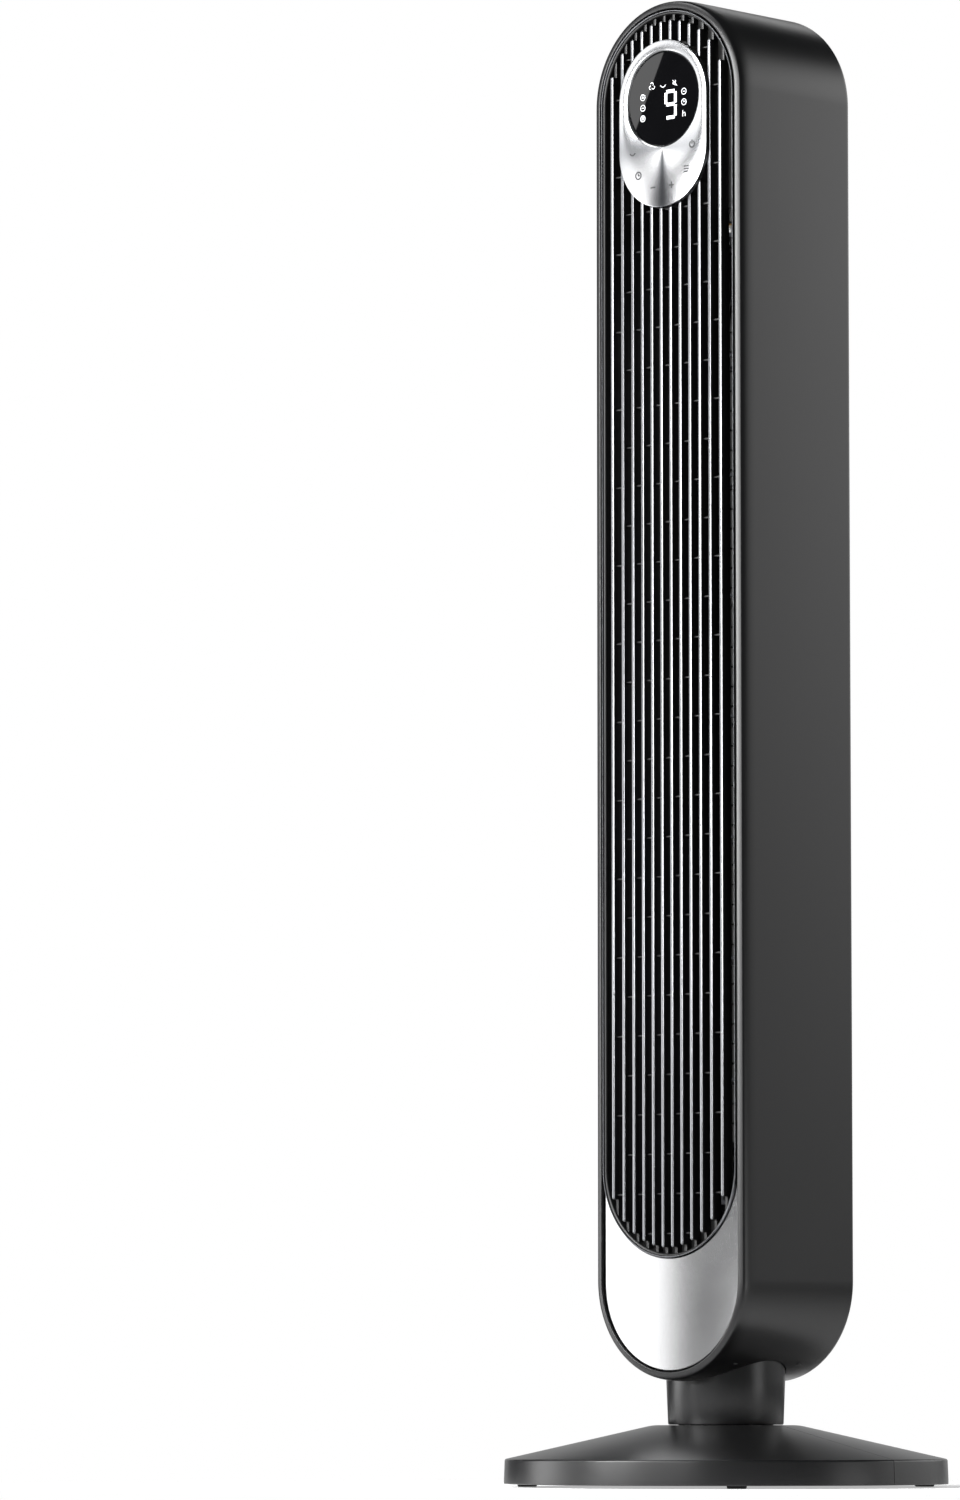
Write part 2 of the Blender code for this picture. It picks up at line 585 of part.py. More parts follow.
# ---------------------------------------------------------------- base and neck
def build_base(body):
    """Two half discs that meet on the X axis, their feet, and the nut under the neck."""
    inner_slope_top = BASE_TOP - BASE_WALL
    section = [
        (STUB_RADIUS + FIT, BASE_TOP),
        (BASE_TOP_RADIUS, BASE_TOP),
        (BASE_EDGE_RADIUS - BASE_EDGE_ROUND, BASE_EDGE_HEIGHT + BASE_EDGE_ROUND * 0.3),
        (BASE_EDGE_RADIUS - BASE_EDGE_ROUND * 0.3, BASE_EDGE_HEIGHT - BASE_EDGE_ROUND * 0.3),
        (BASE_EDGE_RADIUS, BASE_EDGE_HEIGHT - BASE_EDGE_ROUND),
        (BASE_RADIUS, BASE_CLEARANCE),
        (BASE_RADIUS - BASE_WALL, BASE_CLEARANCE),
        (BASE_EDGE_RADIUS - BASE_WALL, BASE_EDGE_HEIGHT - BASE_WALL),
        (BASE_TOP_RADIUS - BASE_WALL * 0.3, inner_slope_top),
        (STUB_RADIUS + FIT, inner_slope_top),
    ]
    foot_mesh = None
    for name, start, first_foot in (("base_front_half", math.pi, 1), ("base_rear_half", 0.0, 3)):
        shape = bmesh.new()
        loops = []
        for step in range(BASE_STEPS + 1):
            angle = start + math.pi * step / BASE_STEPS
            loop = []
            for radius, height in section:
                x = radius * math.cos(angle)
                y = radius * math.sin(angle)
                if step in (0, BASE_STEPS):
                    y = math.copysign(FIT / 2, math.sin(start + math.pi / 2))
                loop.append(shape.verts.new((x, y, height)))
            loops.append(loop)
        for first, second in zip(loops, loops[1:]):
            bridge(shape, first, second)
        shape.faces.new(loops[0])
        shape.faces.new(loops[-1])
        half = new_piece(name, shape, "satin_black_abs", body)

        additions = [base_rib_shape(start + math.radians(angle)) for angle in BASE_RIB_ANGLES]
        foot_angles = [start + math.pi * (index + 0.5) / FEET_PER_HALF for index in range(FEET_PER_HALF)]
        for angle in foot_angles:
            place = (FOOT_CIRCLE * math.cos(angle), FOOT_CIRCLE * math.sin(angle), 0)
            top = roof_height(FOOT_CIRCLE) - BASE_WALL / 2
            profile = [(FOOT_BOSS_RADIUS, FOOT_HEIGHT + FIT), (FOOT_BOSS_RADIUS, top)]
            additions.append(turned_shape(profile, 16, place))
        join(half, "ribs", merged_shape(additions))

        for index, angle in enumerate(foot_angles):
            if foot_mesh is None:
                profile = [
                    (FOOT_RADIUS - FOOT_EASE, 0.0),
                    (FOOT_RADIUS, FOOT_EASE),
                    (FOOT_RADIUS, FOOT_HEIGHT),
                ]
                foot_mesh = new_mesh("rubber_foot", turned_shape(profile, 20), (0, 0, 0))
                foot_mesh.materials.append(new_material("rubber_foot", "black_rubber"))
            place = (FOOT_CIRCLE * math.cos(angle), FOOT_CIRCLE * math.sin(angle), 0)
            place_piece(f"rubber_foot_{first_foot + index}", foot_mesh, body, place)
        if start == 0.0:
            slot_low = (-GLAND_RADIUS - FIT, BASE_EDGE_RADIUS - GLAND_LENGTH - FIT, BASE_CLEARANCE - 0.001)
            slot_high = (GLAND_RADIUS + FIT, BASE_RADIUS + 0.002, GLAND_HEIGHT + GLAND_RADIUS + FIT)
            cut(half, "gland_slot", box_shape(slot_low, slot_high))

    gland_profile = [
        (GLAND_BORE, 0.0),
        (GLAND_RADIUS, 0.0),
        (GLAND_RADIUS, GLAND_LENGTH),
        (GLAND_BORE, GLAND_LENGTH),
    ]
    gland_end = BASE_EDGE_RADIUS - GLAND_LENGTH
    shape = turned_shape(gland_profile, 16, (0, gland_end, GLAND_HEIGHT), ring=True, direction="Y")
    new_piece("cord_gland", shape, "black_pvc", body)

    outline = []
    nut_steps = NUT_LOBES * 4
    for step in range(nut_steps):
        angle = 2 * math.pi * step / nut_steps
        radius = NUT_RADIUS - (NUT_LOBE_DEPTH if step % 4 in (0, 1) else 0.0)
        outline.append((radius * math.cos(angle), radius * math.sin(angle), 0))
    nut_top = inner_slope_top - FIT
    outline = [(x, y, nut_top - NUT_HEIGHT) for x, y, _ in outline]
    nut = new_piece("base_nut", prism_shape(outline, (0, 0, NUT_HEIGHT)), "grey_polypropylene", body)
    bore = [(STUB_RADIUS + FIT, nut_top - NUT_HEIGHT - 0.002), (STUB_RADIUS + FIT, nut_top + 0.002)]
    cut(nut, "bore", turned_shape(bore, 28))


def roof_height(radius):
    """Height of the base's sloping top at a radius."""
    share = (radius - BASE_TOP_RADIUS) / (BASE_EDGE_RADIUS - BASE_TOP_RADIUS)
    return BASE_TOP + share * (BASE_EDGE_HEIGHT - BASE_TOP)


def base_rib_shape(angle):
    """A thin radial web under the base's roof, from the nut's recess to the side wall."""
    inner = NUT_RADIUS + 0.004
    outer = BASE_EDGE_RADIUS - BASE_WALL / 2
    sink = BASE_WALL / 2
    outline = [
        (inner, 0, roof_height(max(inner, BASE_TOP_RADIUS)) - BASE_WALL - 0.006),
        (outer, 0, BASE_EDGE_HEIGHT - BASE_WALL - 0.006),
        (outer, 0, roof_height(outer) - sink),
        (inner, 0, BASE_TOP - sink - 0.0005),
    ]
    outline = [(x, -BASE_RIB_THICKNESS / 2, z) for x, _, z in outline]
    shape = prism_shape(outline, (0, BASE_RIB_THICKNESS, 0))
    bmesh.ops.rotate(shape, verts=shape.verts, matrix=Matrix.Rotation(angle, 3, "Z"))
    return shape


def build_neck(body):
    """Hollow neck with its pivot tube, and what turns and locks the head on it."""
    profile = [
        (STUB_RADIUS, BASE_TOP - STUB_LENGTH),
        (STUB_RADIUS, BASE_TOP + FIT),
        (NECK_FOOT_RADIUS - 0.0008, BASE_TOP + FIT),
        (NECK_FOOT_RADIUS, BASE_TOP + FIT + 0.0008),
        (NECK_RADIUS, HEAD_BOTTOM),
        (NECK_RADIUS, NECK_TOP),
        (PIVOT_RADIUS, NECK_TOP),
        (PIVOT_RADIUS, PIVOT_TOP),
        (PIVOT_BORE, PIVOT_TOP),
        (PIVOT_BORE, NECK_TOP - NECK_WALL),
        (NECK_FOOT_RADIUS - NECK_WALL, NECK_TOP - NECK_WALL),
        (NECK_FOOT_RADIUS - NECK_WALL, BASE_TOP + FIT + NECK_WALL),
        (STUB_RADIUS - NECK_WALL, BASE_TOP + FIT + NECK_WALL),
        (STUB_RADIUS - NECK_WALL, BASE_TOP - STUB_LENGTH),
    ]
    new_piece("neck_column", turned_shape(profile, 28, ring=True), "satin_black_abs", body)

    ring = [
        (GLIDE_INNER_RADIUS, NECK_TOP + FIT),
        (NECK_RADIUS - GLIDE_INSET, NECK_TOP + FIT),
        (NECK_RADIUS - GLIDE_INSET, NECK_TOP + FIT + GLIDE_THICKNESS),
        (GLIDE_INNER_RADIUS, NECK_TOP + FIT + GLIDE_THICKNESS),
    ]
    new_piece("glide_ring", turned_shape(ring, 24, ring=True), "white_acetal", body)

    outline = [(x, y, GEAR_BOTTOM) for x, y in gear_outline(GEAR_TEETH, math.pi / 2)]
    gear = new_piece("fixed_gear", prism_shape(outline, (0, 0, GEAR_HEIGHT)), "white_acetal", body)
    bore = [(PIVOT_RADIUS + FIT, GEAR_BOTTOM - 0.002), (PIVOT_RADIUS + FIT, GEAR_TOP + 0.002)]
    cut(gear, "bore", turned_shape(bore, 28))

    clip = [
        (PIVOT_RADIUS + FIT, GEAR_TOP + FIT),
        (PIVOT_RADIUS + CIRCLIP_WIDTH, GEAR_TOP + FIT),
        (PIVOT_RADIUS + CIRCLIP_WIDTH, CIRCLIP_TOP),
        (PIVOT_RADIUS + FIT, CIRCLIP_TOP),
    ]
    new_piece("pivot_circlip", turned_shape(clip, 28, ring=True), "zinc_plated_steel", body)


# ---------------------------------------------------------------- swing drive in the head
def build_swing_drive(head, pinion_axis):
    """Turntable that carries the head, and the motor and pinion that swing it."""
    low = (-TURNTABLE_HALF_WIDTH, -TURNTABLE_HALF_DEPTH, TURNTABLE_BOTTOM)
    high = (TURNTABLE_HALF_WIDTH, TURNTABLE_HALF_DEPTH, TURNTABLE_TOP)
    turntable = new_piece("swivel_turntable", box_shape(low, high), "grey_polypropylene", head)
    hole_radius = PIVOT_RADIUS + RUNNING_FIT
    bore = [(hole_radius, TURNTABLE_BOTTOM - 0.002), (hole_radius, TURNTABLE_TOP + 0.002)]
    tools = [turned_shape(bore, 28)]
    tools += [screw_hole_shape(place, TURNTABLE_BOTTOM, TURNTABLE_TOP) for place in turntable_screws()]
    cut(turntable, "holes", merged_shape(tools))

    for index, place in enumerate(turntable_screws()):
        seat = TURNTABLE_TOP + (BRACKET_SHEET + FIT if place.y > 0 else 0.0) + FIT
        length = seat - TURNTABLE_BOTTOM + SCREW_BITE
        shape = screw_shape(seat + SCREW_HEAD_HEIGHT, length, place)
        new_piece(f"turntable_screw_{index + 1}", shape, "zinc_plated_steel", head)

    foot_low = TURNTABLE_TOP + FIT
    sheet = BRACKET_SHEET
    half = TURNTABLE_SCREW_ACROSS - BRACKET_LEG_INSET
    toe = half + BRACKET_FOOT
    front = GEAR_SPACING - BRACKET_FRONT_MARGIN
    back = TURNTABLE_SCREW_ALONG + BRACKET_BACK_MARGIN
    right_side = [
        (toe, foot_low),
        (toe, foot_low + sheet),
        (half, foot_low + sheet),
        (half, BRACKET_TOP),
    ]
    left_side = [(-x, z) for x, z in right_side[::-1]]
    under = [
        (-(half - sheet), foot_low),
        (-(half - sheet), BRACKET_TOP - sheet),
        (half - sheet, BRACKET_TOP - sheet),
        (half - sheet, foot_low),
    ]
    outline = [(x, front, z) for x, z in right_side + left_side + under]
    shape = prism_shape(outline, (0, back - front, 0))
    bracket = new_piece("swing_bracket", shape, "galvanised_sheet", head)
    tools = [screw_hole_shape(place, foot_low, foot_low + sheet) for place in turntable_screws()[2:]]
    shaft_hole = SWING_SHAFT_RADIUS + RUNNING_FIT + 0.001
    bore = [(shaft_hole, BRACKET_TOP - sheet - 0.001), (shaft_hole, BRACKET_TOP + 0.001)]
    tools.append(turned_shape(bore, 16, (0, GEAR_SPACING, 0)))
    cut(bracket, "holes", merged_shape(tools))

    motor_low = SWING_MOTOR_BOTTOM
    motor_middle = (0, GEAR_SPACING + SWING_MOTOR_OFFSET, 0)
    profile = [
        (SWING_MOTOR_RADIUS, motor_low),
        (SWING_MOTOR_RADIUS, motor_low + SWING_MOTOR_HEIGHT - 0.001),
        (SWING_MOTOR_RADIUS - 0.001, motor_low + SWING_MOTOR_HEIGHT),
    ]
    shape = turned_shape(profile, 24, motor_middle)
    motor = new_piece("swing_motor", shape, "galvanised_sheet", head)
    ear_low = (-SWING_MOTOR_EAR, motor_middle[1] - 0.0035, motor_low)
    ear_high = (SWING_MOTOR_EAR, motor_middle[1] + 0.0035, motor_low + 0.001)
    join(motor, "ears", box_shape(ear_low, ear_high))
    socket = SWING_SHAFT_RADIUS + RUNNING_FIT
    bore = [(socket, motor_low - 0.002), (socket, motor_low + 0.006)]
    cut(motor, "shaft_socket", turned_shape(bore, 16, (0, GEAR_SPACING, 0)))

    first_gap = -math.pi / 2 + math.pi / PINION_TEETH
    outline = [(x, GEAR_SPACING + y, GEAR_BOTTOM + FIT) for x, y in gear_outline(PINION_TEETH, first_gap)]
    shape = prism_shape(outline, (0, 0, GEAR_HEIGHT))
    pinion = new_piece("swing_pinion", shape, "white_acetal", pinion_axis)
    bore = [(SWING_SHAFT_RADIUS + FIT, GEAR_BOTTOM - 0.002), (SWING_SHAFT_RADIUS + FIT, GEAR_TOP + 0.002)]
    cut(pinion, "bore", turned_shape(bore, 16, (0, GEAR_SPACING, 0)))
    profile = [(SWING_SHAFT_RADIUS, GEAR_BOTTOM + FIT), (SWING_SHAFT_RADIUS, motor_low + 0.005)]
    shape = turned_shape(profile, 16, (0, GEAR_SPACING, 0))
    new_piece("swing_motor_shaft", shape, "ground_steel", pinion_axis)


def turntable_screws():
    """Front pair first, then the rear pair that also holds the motor bracket."""
    return [
        Vector((side * TURNTABLE_SCREW_ACROSS, end * TURNTABLE_SCREW_ALONG, 0))
        for end in (-1, 1)
        for side in (-1, 1)
    ]


def screw_hole_shape(place, low, high):
    return turned_shape([(SCREW_HOLE_RADIUS, low - 0.001), (SCREW_HOLE_RADIUS, high + 0.001)], 8, place)


# ---------------------------------------------------------------- head casing
def build_casing(head):
    """One deep stadium shell with a rounded front edge and a shelf for the front pieces."""
    section = [(LIP_HALF_WIDTH, HEAD_FRONT - 0.0010), (LIP_HALF_WIDTH + 0.0002, HEAD_FRONT - 0.0002)]
    round_steps = 4
    for step in range(round_steps + 1):
        angle = math.pi / 2 * step / round_steps
        half_width = HEAD_HALF_WIDTH - FRONT_ROUND_WIDTH * (1 - math.sin(angle))
        section.append((half_width, HEAD_FRONT - FRONT_ROUND_DEPTH * (1 - math.cos(angle))))
    back_steps = 2
    for step in range(back_steps + 1):
        angle = math.pi / 2 * step / back_steps
        half_width = HEAD_HALF_WIDTH - BACK_ROUND * (1 - math.cos(angle))
        section.append((half_width, -HEAD_BACK + BACK_ROUND * (1 - math.sin(angle))))
    back_lip = HEAD_HALF_WIDTH - BACK_LIP
    section += [
        (back_lip, -HEAD_BACK),
        (back_lip, -COVER_INNER - FIT),
        (INNER_HALF_WIDTH - 0.0006, -COVER_INNER - FIT),
        (INNER_HALF_WIDTH, -COVER_INNER + 0.0008),
        (INNER_HALF_WIDTH, LEDGE_BACK),
        (LEDGE_HALF_WIDTH, LEDGE_BACK),
        (LEDGE_HALF_WIDTH, LEDGE_FRONT),
        (INNER_HALF_WIDTH - 0.0006, LEDGE_FRONT),
        (LIP_HALF_WIDTH + 0.0012, HEAD_FRONT - 0.0055),
        (LIP_HALF_WIDTH, HEAD_FRONT - 0.0030),
    ]
    shape = stadium_shape(section, HEAD_LOW_CENTRE, HEAD_HIGH_CENTRE, ring=True)
    casing = new_piece("housing_shell", shape, "satin_black_abs", head)

    bosses = []
    holes = []
    for place in turntable_screws():
        drop = math.sqrt((INNER_HALF_WIDTH + 0.001) ** 2 - TURNTABLE_SCREW_ACROSS ** 2)
        top = TURNTABLE_BOTTOM - FIT
        profile = [(TURNTABLE_BOSS_RADIUS, HEAD_LOW_CENTRE - drop), (TURNTABLE_BOSS_RADIUS, top)]
        bosses.append(turned_shape(profile, 16, place))
        profile = [(SCREW_HOLE_RADIUS, top - 0.0065), (SCREW_HOLE_RADIUS, top + 0.001)]
        holes.append(turned_shape(profile, 8, place))
    for x, z in cover_screws():
        side = math.copysign(1, x)
        inner = side * (abs(x) - COVER_BOSS_HALF_HEIGHT)
        outer = side * (INNER_HALF_WIDTH + HEAD_WALL / 2)
        front = COVER_INNER - FIT - COVER_BOSS_LENGTH
        low = (min(inner, outer), front, z - COVER_BOSS_HALF_HEIGHT)
        high = (max(inner, outer), COVER_INNER - FIT, z + COVER_BOSS_HALF_HEIGHT)
        bosses.append(box_shape(low, high))
        profile = [(SCREW_HOLE_RADIUS, front + 0.002), (SCREW_HOLE_RADIUS, COVER_INNER + 0.001)]
        holes.append(turned_shape(profile, 8, (x, 0, z), direction="Y"))
    join(casing, "bosses", merged_shape(bosses))
    neck_hole = NECK_RADIUS + NECK_HOLE_GAP
    profile = [(neck_hole, HEAD_BOTTOM - 0.01), (neck_hole, TURNTABLE_BOTTOM)]
    cut(casing, "holes", merged_shape(holes + [turned_shape(profile, 28)]))


def cover_screws():
    return [
        (side * (COVER_HALF_WIDTH - COVER_SCREW_INSET), height)
        for height in (INTAKE_BOTTOM + COVER_SCREW_RISE, INTAKE_TOP - COVER_SCREW_RISE)
        for side in (-1, 1)
    ]


def build_rear(head):
    """Rear cover with its carry recess, and the intake grille that lifts out of it."""
    section = [
        (COVER_HALF_WIDTH, -COVER_INNER),
        (COVER_HALF_WIDTH, -COVER_OUTER + 0.0005),
        (COVER_HALF_WIDTH - 0.0005, -COVER_OUTER),
    ]
    shape = stadium_shape(section, HEAD_LOW_CENTRE, HEAD_HIGH_CENTRE)
    cover = new_piece("rear_cover", shape, "moulded_black_abs", head)

    cup_half = HANDLE_WIDTH / 2 + HANDLE_WALL
    cup_rise = HANDLE_HEIGHT / 2 + HANDLE_WALL
    cup_floor = COVER_OUTER - HANDLE_DEPTH - HANDLE_WALL
    middle = TOTAL_HEIGHT - HANDLE_DROP
    cup_low = (-cup_half, cup_floor, middle - cup_rise)
    cup_high = (cup_half, COVER_INNER + 0.001, middle + cup_rise)
    join(cover, "handle_cup", box_shape(cup_low, cup_high))

    window = [(INTAKE_HALF_WIDTH, -COVER_INNER + 0.002), (INTAKE_HALF_WIDTH, -COVER_OUTER - 0.002)]
    low = (-HANDLE_WIDTH / 2, COVER_OUTER - HANDLE_DEPTH, middle - HANDLE_HEIGHT / 2)
    high = (HANDLE_WIDTH / 2, COVER_OUTER + 0.002, middle + HANDLE_HEIGHT / 2)
    tools = [stadium_shape(window, INTAKE_LOW_CENTRE, INTAKE_HIGH_CENTRE), box_shape(low, high)]
    for x, z in cover_screws():
        profile = [(SCREW_HOLE_RADIUS, COVER_INNER - 0.001), (SCREW_HOLE_RADIUS, COVER_OUTER + 0.001)]
        tools.append(turned_shape(profile, 8, (x, 0, z), direction="Y"))
    cut(cover, "openings", merged_shape(tools))

    frame_inner = INTAKE_HALF_WIDTH - INTAKE_FRAME_OVERLAP
    frame_outer = INTAKE_HALF_WIDTH + INTAKE_FRAME_OVERLAP
    frame_back = COVER_INNER - FIT
    frame_front = frame_back - INTAKE_FRAME_THICKNESS
    section = [
        (frame_inner, -frame_front),
        (frame_outer, -frame_front),
        (frame_outer, -frame_back),
        (frame_inner, -frame_back),
    ]
    shape = stadium_shape(section, INTAKE_LOW_CENTRE, INTAKE_HIGH_CENTRE, ring=True)
    frame = new_piece("intake_frame", shape, "moulded_black_abs", head)
    grille_screw = (0, 0, INTAKE_BOTTOM + FIT + INTAKE_RIM / 2)
    profile = [(SCREW_HOLE_RADIUS, frame_front - 0.001), (SCREW_HOLE_RADIUS, COVER_OUTER + 0.001)]
    cut(frame, "screw_hole", turned_shape(profile, 8, grille_screw, direction="Y"))

    for index, (x, z) in enumerate(cover_screws()):
        head_top = COVER_OUTER + FIT + SCREW_HEAD_HEIGHT * 0.5
        length = COVER_THICKNESS + COVER_BOSS_LENGTH * 0.6
        shape = screw_shape(head_top + SCREW_HEAD_HEIGHT * 0.5, length, (x, 0, z), "Y")
        new_piece(f"rear_cover_screw_{index + 1}", shape, "zinc_plated_steel", head)

    outer = INTAKE_HALF_WIDTH - FIT
    inner = outer - INTAKE_RIM
    front = -COVER_INNER
    rim = [(outer, front), (outer, -COVER_OUTER), (inner, -COVER_OUTER), (inner, front)]
    shape = stadium_shape(rim, INTAKE_LOW_CENTRE, INTAKE_HIGH_CENTRE, ring=True)
    grille = new_piece("rear_grille", shape, "moulded_black_abs", head)
    bars = []
    pitch = 2 * inner / (INTAKE_BARS + 1)
    for index in range(INTAKE_BARS):
        x = -inner + pitch * (index + 1)
        reach = math.sqrt((inner + INTAKE_RIM / 2) ** 2 - x ** 2)
        low = (x - INTAKE_BAR_WIDTH / 2, COVER_INNER + 0.0002, INTAKE_LOW_CENTRE - reach)
        high = (x + INTAKE_BAR_WIDTH / 2, COVER_OUTER - 0.0002, INTAKE_HIGH_CENTRE + reach)
        bars.append(box_shape(low, high))
    cross_pitch = (INTAKE_HIGH_CENTRE - INTAKE_LOW_CENTRE) / (INTAKE_CROSSBARS - 1)
    for index in range(INTAKE_CROSSBARS):
        z = INTAKE_LOW_CENTRE + cross_pitch * index
        half = inner + INTAKE_RIM / 2
        low = (-half, COVER_INNER + 0.0004, z - INTAKE_BAR_WIDTH / 2)
        high = (half, COVER_OUTER - 0.0004, z + INTAKE_BAR_WIDTH / 2)
        bars.append(box_shape(low, high))
    join(grille, "bars", merged_shape(bars))
    profile = [(SCREW_HOLE_RADIUS, COVER_INNER - 0.001), (SCREW_HOLE_RADIUS, COVER_OUTER + 0.001)]
    cut(grille, "screw_hole", turned_shape(profile, 8, grille_screw, direction="Y"))
    head_top = COVER_OUTER + FIT + SCREW_HEAD_HEIGHT
    shape = screw_shape(head_top, GRILLE_SCREW_LENGTH, grille_screw, "Y")
    new_piece("rear_grille_screw", shape, "zinc_plated_steel", head)


# ---------------------------------------------------------------- front of the head
def slat_places():
    """Middles of the slats: their pitch grows a little towards the sides."""
    last = (SLAT_COUNT - 1) / 2
    pitch = (INSERT_HALF_WIDTH - SLAT_SIDE_GAP) / (last * (1 + SLAT_SPREAD * last ** 2))
    steps = [index - last for index in range(SLAT_COUNT)]
    return [pitch * step * (1 + SLAT_SPREAD * step ** 2) for step in steps]


def slat_shape(x):
    """One upright slat: its face stops on the end arcs, its root runs on into the rim."""
    face_radius = INSERT_HALF_WIDTH - SLAT_END_MARGIN
    root_radius = INSERT_HALF_WIDTH - SLAT_ROOT_SINK
    face_end = math.sqrt(face_radius ** 2 - x ** 2)
    root_end = math.sqrt(root_radius ** 2 - x ** 2)
    back = SLAT_FRONT - SLAT_DEPTH
    shoulder = back + SLAT_ROOT_DEPTH
    top = [
        (SLAT_FRONT, HEAD_HIGH_CENTRE + face_end - SLAT_EASE),
        (SLAT_FRONT - SLAT_EASE, HEAD_HIGH_CENTRE + face_end),
        (shoulder, HEAD_HIGH_CENTRE + face_end),
        (shoulder, HEAD_HIGH_CENTRE + root_end),
        (back, HEAD_HIGH_CENTRE + root_end),
    ]
    bottom = [
        (back, GRILLE_LOW_CENTRE - root_end),
        (shoulder, GRILLE_LOW_CENTRE - root_end),
        (shoulder, GRILLE_LOW_CENTRE - face_end),
        (SLAT_FRONT - SLAT_EASE, GRILLE_LOW_CENTRE - face_end),
        (SLAT_FRONT, GRILLE_LOW_CENTRE - face_end + SLAT_EASE),
    ]
    outline = [(x - SLAT_WIDTH / 2, -front, z) for front, z in top + bottom]
    return prism_shape(outline, (SLAT_WIDTH, 0, 0))


def rib_shapes():
    """Short cross ribs, laid like bricks: every second gap is half a pitch lower."""
    places = slat_places()
    shapes = []
    for gap, (left, right) in enumerate(zip(places, places[1:])):
        reach = math.sqrt((INSERT_HALF_WIDTH - SLAT_END_MARGIN) ** 2 - max(abs(left), abs(right)) ** 2)
        lowest = GRILLE_LOW_CENTRE - reach
        highest = HEAD_HIGH_CENTRE + reach
        first = TOTAL_HEIGHT - RIB_TOP_DROP - (RIB_ROW_PITCH / 2 if gap % 2 else 0.0)
        rows_above = math.floor((highest - first) / RIB_ROW_PITCH)
        rows_below = math.floor((first - lowest) / RIB_ROW_PITCH)
        for row in range(-rows_below, rows_above + 1):
            z = first + row * RIB_ROW_PITCH
            front = SLAT_FRONT - RIB_SETBACK
            sink = SLAT_WIDTH / 4
            low = (left + SLAT_WIDTH / 2 - sink, -front, z - RIB_HEIGHT / 2)
            high = (right - SLAT_WIDTH / 2 + sink, -front + RIB_DEPTH, z + RIB_HEIGHT / 2)
            shapes.append(box_shape(low, high))
    return shapes


def build_front(head):
    """Outlet grille and the silver fascia under it."""
    outer = INSERT_HALF_WIDTH
    inner = outer - GRILLE_RIM
    rim = [
        (outer, GRILLE_BACK),
        (outer, GRILLE_FRONT - 0.0018),
        (outer - 0.0007, GRILLE_FRONT - 0.0002),
        (outer - 0.0019, GRILLE_FRONT),
        (inner + 0.0003, GRILLE_FRONT - 0.0012),
        (inner, GRILLE_BACK),
    ]
    shape = stadium_shape(rim, GRILLE_LOW_CENTRE, HEAD_HIGH_CENTRE, ring=True)
    grille = new_piece("front_grille", shape, "moulded_black_abs", head)
    join(grille, "slats", merged_shape([slat_shape(x) for x in slat_places()]))
    join(grille, "ribs", merged_shape(rib_shapes()))
    pod_hole = PANEL_HALF_WIDTH + 2 * FIT
    section = [(pod_hole, SLAT_FRONT + 0.005), (pod_hole, GRILLE_BACK - 0.005)]
    cut(grille, "pod_hole", stadium_shape(section, PANEL_LOW_CENTRE, PANEL_TOP_CENTRE))

    tip_x = INSERT_HALF_WIDTH
    notch_radius = INSERT_HALF_WIDTH + 2 * FIT
    tip_height = GRILLE_LOW_CENTRE - FASCIA_TIP_DROP
    tip_drop = math.asin(FASCIA_TIP_DROP / notch_radius)
    outline = []
    for step in range(ARC_STEPS + 1):
        angle = math.pi * step / ARC_STEPS
        outline.append((-tip_x * math.cos(angle), HEAD_LOW_CENTRE - tip_x * math.sin(angle)))
    outline.append((tip_x, tip_height))
    notch_start = math.pi - tip_drop
    notch_sweep = math.pi - 2 * tip_drop
    for step in range(ARC_STEPS + 1):
        angle = -tip_drop - notch_sweep * step / ARC_STEPS
        outline.append((notch_radius * math.cos(angle), GRILLE_LOW_CENTRE + notch_radius * math.sin(angle)))
    outline.append((-tip_x, tip_height))
    back = -GRILLE_FRONT + FASCIA_THICKNESS
    shape = prism_shape([(x, back, z) for x, z in outline], (0, -FASCIA_THICKNESS, 0))
    fascia = new_piece("lower_fascia", shape, "silver_painted_abs", head)
    clip_radius = INSERT_HALF_WIDTH - FASCIA_CLIP_INSET
    low_across = clip_radius * math.cos(FASCIA_CLIP_ANGLE)
    low_height = HEAD_LOW_CENTRE - clip_radius * math.sin(FASCIA_CLIP_ANGLE)
    side_across = INSERT_HALF_WIDTH - FASCIA_SIDE_CLIP_INSET
    side_height = GRILLE_LOW_CENTRE - FASCIA_SIDE_CLIP_DROP
    clips = []
    for across, z in ((low_across, low_height), (side_across, side_height)):
        for x in (-across, across):
            low = (x - FASCIA_CLIP_HALF_WIDTH, back - 0.001, z - FASCIA_CLIP_HALF_HEIGHT)
            high = (x + FASCIA_CLIP_HALF_WIDTH, -GRILLE_BACK, z + FASCIA_CLIP_HALF_HEIGHT)
            clips.append(box_shape(low, high))
    join(fascia, "clips", merged_shape(clips))


